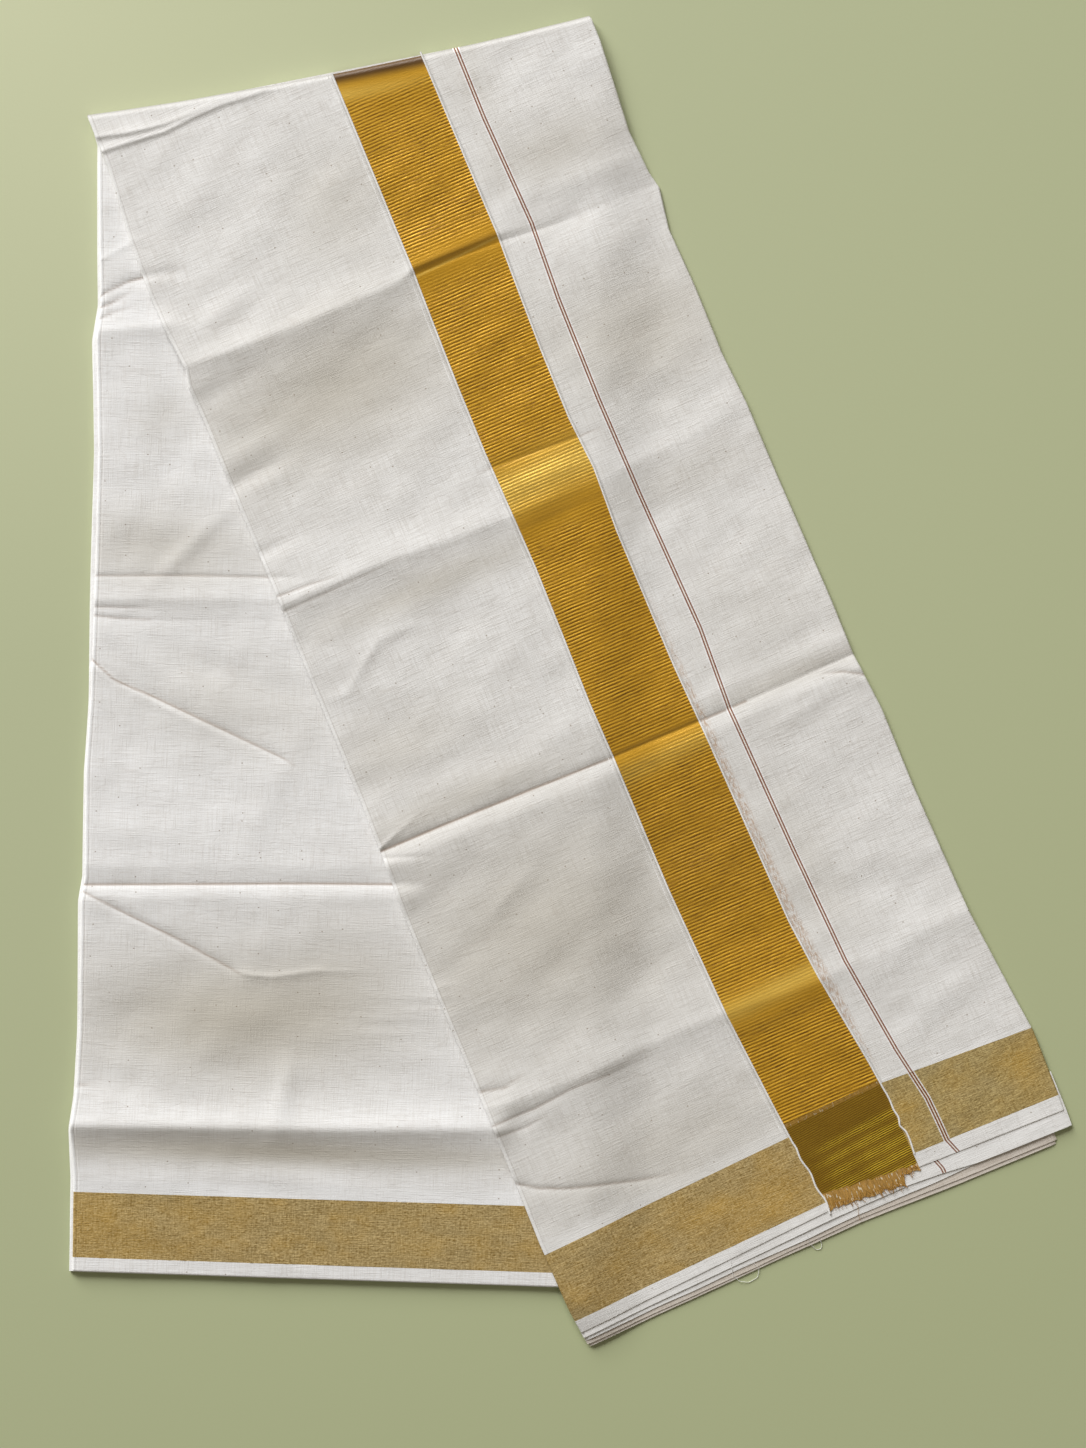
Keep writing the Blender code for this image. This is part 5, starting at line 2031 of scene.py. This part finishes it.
        # Painted shade round the top fold and at the folds, and painted highlights below the top fold and
        # at the folds
        pressed = 0.95 * smooth((9.0 - from_top) / 9.0)
        shine = 0.45 * np.exp(-(((from_top - 15.0) / 6.0) ** 2)) * (1.0 - 1.6 * slant)
        for at, half, share in FOLD_SHADE_LINES:
            pressed = np.maximum(pressed, share * np.exp(-(((uv[:, :, 1] - at) / half) ** 2)))
        for at, half, share in SHINE_LINES:
            shine = np.maximum(shine, share * np.exp(-(((uv[:, :, 1] - at + 8.0 * slant) / half) ** 2)))
        marks = {"phase": phase, "ribbed": strength, "pressed": pressed, "shine": shine}
        border = shell("zari_border_ribs", points, uv, marks)
        dress(border, self.wardrobe.zari, ("zari_border",))

    def build_bands(self) -> None:
        """Make the tissue bands, the crossing of the border and the plain headings."""
        for panel, columns, material, width in (
            ("left", self.left_columns(), self.wardrobe.tissue, 225.0),
            ("right", self.outer_columns(Edge.GOLD_RIGHT, 60), self.wardrobe.tissue_pale, 130.0),
        ):
            rows = spaced(PANEL_ROWS[panel, "band_start"], PANEL_ROWS[panel, "band_end"], 1.5)
            points, uv = self.points(rows, columns)
            points[:, :, 2] += ripple(uv[:, :, 0], uv[:, :, 1], 37, 0.02, 12, (5.0, 14.0))
            yellow = np.clip(UPPER.patches(UPPER_YELLOW, uv[:, :, 1], uv[:, :, 0]), 0.0, 0.8)
            band = shell(f"{panel}_tissue_band", points, uv, {"yellow": yellow, "stripe": self.stripe(uv)})
            dress(band, material, (f"upper_band_{panel}",))
        self.build_crossing()

        for panel, columns, width, depth in (
            ("left", self.left_columns(), 228.0, 10.0),
            ("right", self.outer_columns(Edge.GOLD_RIGHT, 50), 128.0, 12.0),
        ):
            rows = spaced(PANEL_ROWS[panel, "band_end"], PANEL_ROWS[panel, "cloth_end"], 1.2)
            points, uv = self.points(rows, columns)
            from_end = uv[-1:, :, 1] - uv[:, :, 1]
            # A little painted shade along the cut end
            painted_shade = 0.12 * smooth((1.2 - from_end) / 1.2)
            marks = {"dense": np.full_like(from_end, 0.8), "painted_shade": painted_shade, "stripe": self.stripe(uv)}
            heading = shell(f"{panel}_heading", points, uv, marks)
            dress(heading, self.wardrobe.cotton, (f"upper_heading_{panel}",))

    def pulled(self, points: Array, move: Array) -> Array:
        """Points moved along the leg.

        Args:
            points: The points.
            move: How far each is moved, in millimetres.

        Returns:
            The moved points.
        """
        down, _ = UPPER.directions()
        points = points.copy()
        points[:, :, 0] += down[0] * move
        points[:, :, 1] += down[1] * move
        return points

    def build_crossing(self) -> None:
        """Make the stretch where the border crosses the bands, with its raw end."""
        rows = spaced(PANEL_ROWS["middle", "band_start"], PANEL_ROWS["middle", "cloth_end"], 0.7)
        columns = spread_columns(Edge.GOLD_LEFT, Edge.GOLD_RIGHT, 60)
        points, uv = self.points(rows, columns)
        across, along = uv[:, :, 0], uv[:, :, 1]
        still = np.zeros_like(along)
        from_end = along[-1:] - along
        ragged = ripple(across, still, 83, 0.3, 12, (2.0, 14.0))
        cut = CUT_BACK * smooth((across - CUT_BACK_FROM) / 1.5) * np.clip(1.0 - from_end / 12.0, 0.0, 1.0)
        points = self.pulled(points, smooth((8.0 - from_end) / 8.0) * ragged - cut)
        uneven = ripple(across, still, 85, 0.25, 10, (3.0, 16.0))
        raw = smooth((RAW_DEPTH - from_end + uneven) / 1.2)
        share = (across - UPPER.edge(Edge.GOLD_LEFT, along)) / self.crossing_width
        waver = ripple(across, still, 88, 0.35, 6, (16.0, 70.0))
        cluster = np.zeros(across.shape)
        for at_share, at, half, height in RIB_CLUSTERS:
            away = along - (at + CLUSTER_SLANT * (share - at_share) + waver)
            cluster += height * np.exp(-((away / half) ** 2)) * smooth((share - at_share + 0.5) / 0.4)
        phase = (along - CLUSTER_SLANT * share) / CROSSING_RIB
        cluster *= np.clip(1.0 + ripple(across, 0.5 * along, 87, 0.16, 10, (24.0, 90.0)), 0.5, 1.3)
        strength = np.clip(0.3 + 0.7 * cluster, 0.0, 1.0)
        rise = 0.5 * np.sin(2.0 * math.pi * phase)
        points[:, :, 2] += RIB_HEIGHT * rise * strength * (1.0 - raw)
        first_lines = 0.5 * smooth((4.0 - (along - along[:1])) / 1.5)
        # Painted highlights on the crests of the bright clusters
        lit = np.clip(1.3 * cluster, 0.0, 1.0)
        marks = {"phase": phase, "ribbed": strength, "lit": lit, "raw": np.maximum(raw, first_lines)}
        crossing = shell("border_crossing_weave", points, uv, marks)
        dress(crossing, self.wardrobe.crossing, ("border_crossing",))

    def build_layer_ends(self) -> None:
        """Make the cut ends of the layers underneath, each a little further out."""
        cotton, under = self.wardrobe.cotton, self.wardrobe.under
        for k, (name, left_in, right_in, below, pale) in enumerate(LAYER_LOOKS):
            places, stations = np.array(LAYER_ENDS[name]).T
            columns = spread_columns(Edge.LEFT, Edge.RIGHT, 150, left_in, -right_in)
            along, across, _ = lay_out(UPPER, spaced(LAYER_START, LAYER_LAST, 2.0), columns)
            share = np.linspace(0.0, 1.0, across.shape[1])[None, :]
            reach = (along - along[:1]) / (along[-1:] - along[:1])
            along = along[:1] + (np.interp(across, places, stations) - along[:1]) * reach
            still = np.zeros_like(across)
            along = along + reach * ripple(across, still, 91 + k, 0.09, 8, (50.0, 240.0))
            x, y = UPPER.place(along, across)
            face = upper_height(np.minimum(along, LAYER_LAST[0]), across)
            base = upper_base(x, y)
            height = base + (face - base) * (1.0 - below / UPPER_DEPTH)
            side = np.minimum(np.minimum(share, 1.0 - share) * UPPER_WIDTH / 4.0, 1.0)
            height = height - 0.9 * (1.0 - side) ** 2
            points = np.stack((x, y, np.maximum(height, LOWEST_FACE)), axis=2)
            uv = np.stack((across, along + 13.0 * k), axis=2)
            marks = {"dense": np.full_like(along, pale)}
            if k == 0:
                shifted = np.stack((across + UNDER_THREAD_SHIFT, along), axis=2)
                marks["stripe"] = self.stripe(shifted)
            end = shell(name, points, uv, marks)
            dress(end, cotton if pale > 0.5 else under, ("upper_layers",))

    def build_pile(self) -> None:
        """Make the hidden layers, rounded and layered along their sides."""
        rows = spread_rows(UPPER_ROWS, 4.0)
        rows = np.concatenate((rows, spaced(UPPER_BAND_START, UPPER_PILE_END, 4.0)[1:]))
        sides = []
        for side, edge, sign in ((0, Edge.LEFT, 1.0), (1, Edge.RIGHT, -1.0)):
            station = rows[:, side]
            rim = UPPER.edge(edge, station)
            lines = []
            inward = rim + sign * PILE_INWARD
            x, y = UPPER.place(station, inward)
            foot = np.maximum(upper_base(x, y) - 0.9, 0.0)
            top = np.maximum(upper_height(station, inward) - PILE_BELOW, foot + 1.0)
            for layer in range(self.layers):
                wave = 0.45 * np.sin(station / (27.0 + 9.0 * layer) + 1.7 * layer)
                wander = 0.5 + wave + 0.3 * (layer % 2)
                for part in LAYER_PARTS:
                    height = foot + (top - 0.5 - foot) * (layer + part) / self.layers
                    px, py = UPPER.place(station, rim + sign * (wander + rounded_in(part)))
                    lines.append(np.stack((px, py, height), axis=1))
            lines.append(np.stack((x, y, top), axis=1))
            sides.append(lines)
        left, right = sides
        tops, feet = [], []
        for k in range(1, 14):
            share = k / 14.0
            station = rows[:, 0] + (rows[:, 1] - rows[:, 0]) * share
            first = UPPER.edge(Edge.LEFT, rows[:, 0])
            across = first + (UPPER.edge(Edge.RIGHT, rows[:, 1]) - first) * share
            px, py = UPPER.place(station, across)
            foot = np.maximum(upper_base(px, py) - 0.6, 0.0)
            feet.append(np.stack((px, py, foot), axis=1))
            top = np.maximum(upper_height(station, across) - 2.9, foot + 0.2)
            tops.append(np.stack((px, py, top), axis=1))
        outline = left + tops + right[::-1] + feet[::-1]
        pile = closed_tube("upper_pile", np.stack(outline, axis=1), UPPER)
        dress(pile, self.wardrobe.cotton, ("upper_layers",))


@dataclass
class Yarns:
    """Yarns laid in as cords along the border, and loose threads at its cut end."""

    wardrobe: Wardrobe
    sides: int = 6
    cord_radius: float = 0.85
    faint_radius: float = 0.42
    fray_radius: float = 0.16
    loose_radius: float = 0.2
    loose_sides: int = 4
    faint_points: int = 590
    left_cord: tuple[float, float] = (14.0, 1033.0)
    right_cord: tuple[float, float] = (26.0, 1015.0)
    cord_step: float = 1.6
    hairs: int = 90
    hair_span: tuple[float, float] = (208.0, 287.0)
    hair_inside: tuple[float, float] = (0.6, 6.0)
    hair_length: tuple[float, float] = (2.0, 6.5)
    hair_lean: tuple[float, float] = (-0.7, 0.7)
    hair_curl: tuple[float, float] = (-1.2, 1.2)

    def tree(self) -> NodeTree:
        """The tree that turns a line of points into a yarn.

        Returns:
            The tree, with inputs for the radius, the sides and the material.
        """
        tree = bpy.data.node_groups.new("yarn_along_path", "GeometryNodeTree")
        for name, way, kind in (
            ("Path", "INPUT", "NodeSocketGeometry"),
            ("Radius", "INPUT", "NodeSocketFloat"),
            ("Sides", "INPUT", "NodeSocketInt"),
            ("Material", "INPUT", "NodeSocketMaterial"),
            ("Yarn", "OUTPUT", "NodeSocketGeometry"),
        ):
            tree.interface.new_socket(name, in_out=way, socket_type=kind)
        given = add_node(tree, "NodeGroupInput").outputs
        line = add_node(tree, "GeometryNodeMeshToCurve", {0: given["Path"]}, 0)
        inputs = {"Resolution": given["Sides"], "Radius": given["Radius"]}
        ring = add_node(tree, "GeometryNodeCurvePrimitiveCircle", inputs, 0)
        inputs = {"Curve": line, "Profile Curve": ring, "Fill Caps": True}
        tube = add_node(tree, "GeometryNodeCurveToMesh", inputs, 0)
        round_off = add_node(tree, "GeometryNodeSetShadeSmooth", {0: tube}, 0)
        whole = add_node(tree, "GeometryNodeRealizeInstances", {0: round_off}, 0)
        done = add_node(tree, "GeometryNodeSetMaterial", {0: whole, "Material": given["Material"]}, 0)
        add_node(tree, "NodeGroupOutput", {0: done})
        return tree

    def yarn(self, name: str, paths: list[Array], radius: float, sides: int, material: Material) -> None:
        """Make yarns along paths.

        Args:
            name: The piece's name.
            paths: A list of points for each yarn, in millimetres.
            radius: Its radius, in millimetres.
            sides: How many sides it has.
            material: Its material.
        """
        points, edges, count = [], [], 0
        for path in paths:
            points += [tuple(p * MM) for p in path]
            edges += [(count + k, count + k + 1) for k in range(len(path) - 1)]
            count += len(path)
        line = bpy.data.meshes.new(name + "_path")
        line.from_pydata(points, edges, [])
        carrier = add_object(name + "_path", line)
        tree = self.tree()
        modifier = carrier.modifiers.new("yarn", "NODES")
        modifier.node_group = tree
        given = [item for item in tree.interface.items_tree if item.in_out == "INPUT"]
        sockets = {item.name: item.identifier for item in given}
        modifier[sockets["Radius"]] = radius * MM
        modifier[sockets["Sides"]] = sides
        modifier[sockets["Material"]] = material
        graph = bpy.context.evaluated_depsgraph_get()
        mesh = bpy.data.meshes.new_from_object(carrier.evaluated_get(graph))
        mesh.name = name
        bpy.data.objects.remove(carrier)
        dress(add_object(name, mesh), material, ())

    def border_path(self, edge: Edge, side: float, lift: float) -> Array:
        """The path of a yarn along the border, wavy where it crosses the band.

        Args:
            edge: The border's edge.
            side: How far to the right of that edge.
            lift: How far above the face.

        Returns:
            The points, in millimetres.
        """
        first, last = self.left_cord if edge is Edge.GOLD_LEFT else self.right_cord
        along = np.arange(first + 0.5, last, self.cord_step)
        if edge is Edge.GOLD_LEFT:
            stray = 0.8 * smooth((along - 966.0) / 8.0) * np.sin((along - 962.0) / 4.2)
        else:
            table = np.array(RIGHT_CORD)
            stray = np.interp(along, table[:, 0], table[:, 1] - table[0, 1])
            stray[1:-1] = (stray[:-2] + 2.0 * stray[1:-1] + stray[2:]) / 4.0
        across = UPPER.edge(edge, along) + side + stray
        x, y = UPPER.place(along, across)
        return np.stack((x, y, upper_height(along, across) + lift), axis=1)

    def fray_paths(self) -> list[Array]:
        """Short loose ends along the cut edge of the border.

        Returns:
            The points of each end, in millimetres.
        """
        dice = np.random.default_rng(41)
        first, last = PANEL_ROWS["middle", "cloth_end"][:2]
        paths = []
        for _ in range(self.hairs):
            across = dice.uniform(*self.hair_span)
            share = (across - UPPER_CLOTH_LEFT) / UPPER_WIDTH
            start = first + (last - first) * share - dice.uniform(*self.hair_inside)
            start -= CUT_BACK if across > CUT_BACK_FROM else 0.0
            length = dice.uniform(*self.hair_length)
            lean = dice.uniform(*self.hair_lean)
            curl = dice.uniform(*self.hair_curl)
            t = np.linspace(0.0, 1.0, 6)
            along = start + length * t
            side = across + lean * length * t + curl * t * t
            x, y = UPPER.place(along, side)
            height = upper_height(np.full(6, start), np.full(6, across))
            paths.append(np.stack((x, y, height + 0.15 + 0.9 * t * (1.0 - t)), axis=1))
        return paths

    def loose_paths(self, tables: tuple) -> list[Array]:
        """Loose threads that hang from the cut ends.

        Args:
            tables: A table of points for each thread.

        Returns:
            The points of each thread, in millimetres.
        """
        paths = []
        for rows in tables:
            table = np.array(rows)
            place = np.linspace(0.0, len(table) - 1.0, 8 * len(table))
            order = np.arange(len(table))
            along, across, height = (np.interp(place, order, table[:, k]) for k in range(3))
            for _ in range(3):
                for line in (along, across, height):
                    line[1:-1] = (line[:-2] + 2.0 * line[1:-1] + line[2:]) / 4.0
            x, y = UPPER.place(along, across)
            paths.append(np.stack((x, y, height), axis=1))
        return paths

    def build(self) -> None:
        """Make the white cords beside the border, and the loose threads and ends."""
        sides = ((Edge.GOLD_LEFT, -0.3), (Edge.GOLD_RIGHT, 0.3))
        cords = [self.border_path(edge, side, -0.05) for edge, side in sides]
        white, silk = self.wardrobe.yarn, self.wardrobe.fray
        self.yarn("border_cords", cords, self.cord_radius, self.sides, white)
        faint = [self.border_path(Edge.GOLD_LEFT, -4.2, -0.22)[:self.faint_points]]
        self.yarn("border_second_cord", faint, self.faint_radius, self.sides, white)
        silk_ends = self.fray_paths() + self.loose_paths((BROWN_THREAD,))
        self.yarn("frayed_border_ends", silk_ends, self.fray_radius, self.loose_sides, silk)
        loose = self.loose_paths(LOOSE_THREADS)
        self.yarn("loose_threads", loose, self.loose_radius, self.loose_sides, white)


@dataclass
class Studio:
    """The board, the light and the camera."""

    centre: tuple[float, float] = (-0.02232, -0.03413)
    frame_height: float = 1.1874
    distance: float = 2.6
    sensor: float = 24.0
    board_half: float = 16.0

    def build(self) -> None:
        """Make the stage."""
        board = bpy.data.meshes.new("board")
        half = self.board_half
        corners = [(-half, -half, 0.0), (half, -half, 0.0), (half, half, 0.0), (-half, half, 0.0)]
        board.from_pydata(corners, [], [(0, 1, 2, 3)])
        board.materials.append(PaintedBoard("painted_board").build())
        add_object("board", board)

        # A large low window beyond the top left corner, so that every fold shows, and a weak warm fill
        self.light("window_light", (-5.4, 9.3, 5.2), 7.0, 2180.0, (0.985, 0.99, 1.0))
        self.light("fill_light", (1.0, -0.4, 2.2), 1.6, 4.0, (1.0, 0.95, 0.88))

        world = bpy.data.worlds.new("pale_room")
        world.use_nodes = True
        background = world.node_tree.nodes["Background"].inputs
        background["Color"].default_value = linear("#fff3df")
        background["Strength"].default_value = 0.13
        bpy.context.scene.world = world
        # The plain transform keeps the yarns' true colours in the picture
        bpy.context.scene.view_settings.view_transform = "Standard"

        camera_data = bpy.data.cameras.new("camera")
        camera_data.sensor_fit = "VERTICAL"
        camera_data.sensor_height = self.sensor
        camera_data.lens = self.sensor * self.distance / self.frame_height
        camera = add_object("camera", camera_data)
        camera.location = (*self.centre, self.distance)
        bpy.context.scene.camera = camera

    def light(
        self, name: str, place: tuple[float, float, float], size: float, power: float,
        colour: tuple[float, float, float],
    ) -> None:
        """Add a square soft light that faces the cloth.

        Args:
            name: Its name.
            place: Where it stands.
            size: Its side.
            power: Its power, in watts.
            colour: Its colour.
        """
        data = bpy.data.lights.new(name, "AREA")
        data.size = size
        data.energy = power
        data.color = colour
        lamp = add_object(name, data)
        lamp.location = place
        lamp.rotation_euler = (-Vector(place)).to_track_quat("-Z", "Y").to_euler()


def main() -> None:
    """Build the stage, both legs of the folded cloth and its yarns."""
    logging.basicConfig(level=logging.INFO, format="%(message)s")
    Studio().build()
    wardrobe = Wardrobe()
    lower = LowerLeg(wardrobe)
    lower.build_face()
    lower.build_pile()
    upper = UpperLeg(wardrobe)
    upper.build_cotton()
    upper.build_border()
    upper.build_bands()
    upper.build_layer_ends()
    upper.build_pile()
    Yarns(wardrobe).build()
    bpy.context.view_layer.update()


if __name__ == "__main__":
    main()
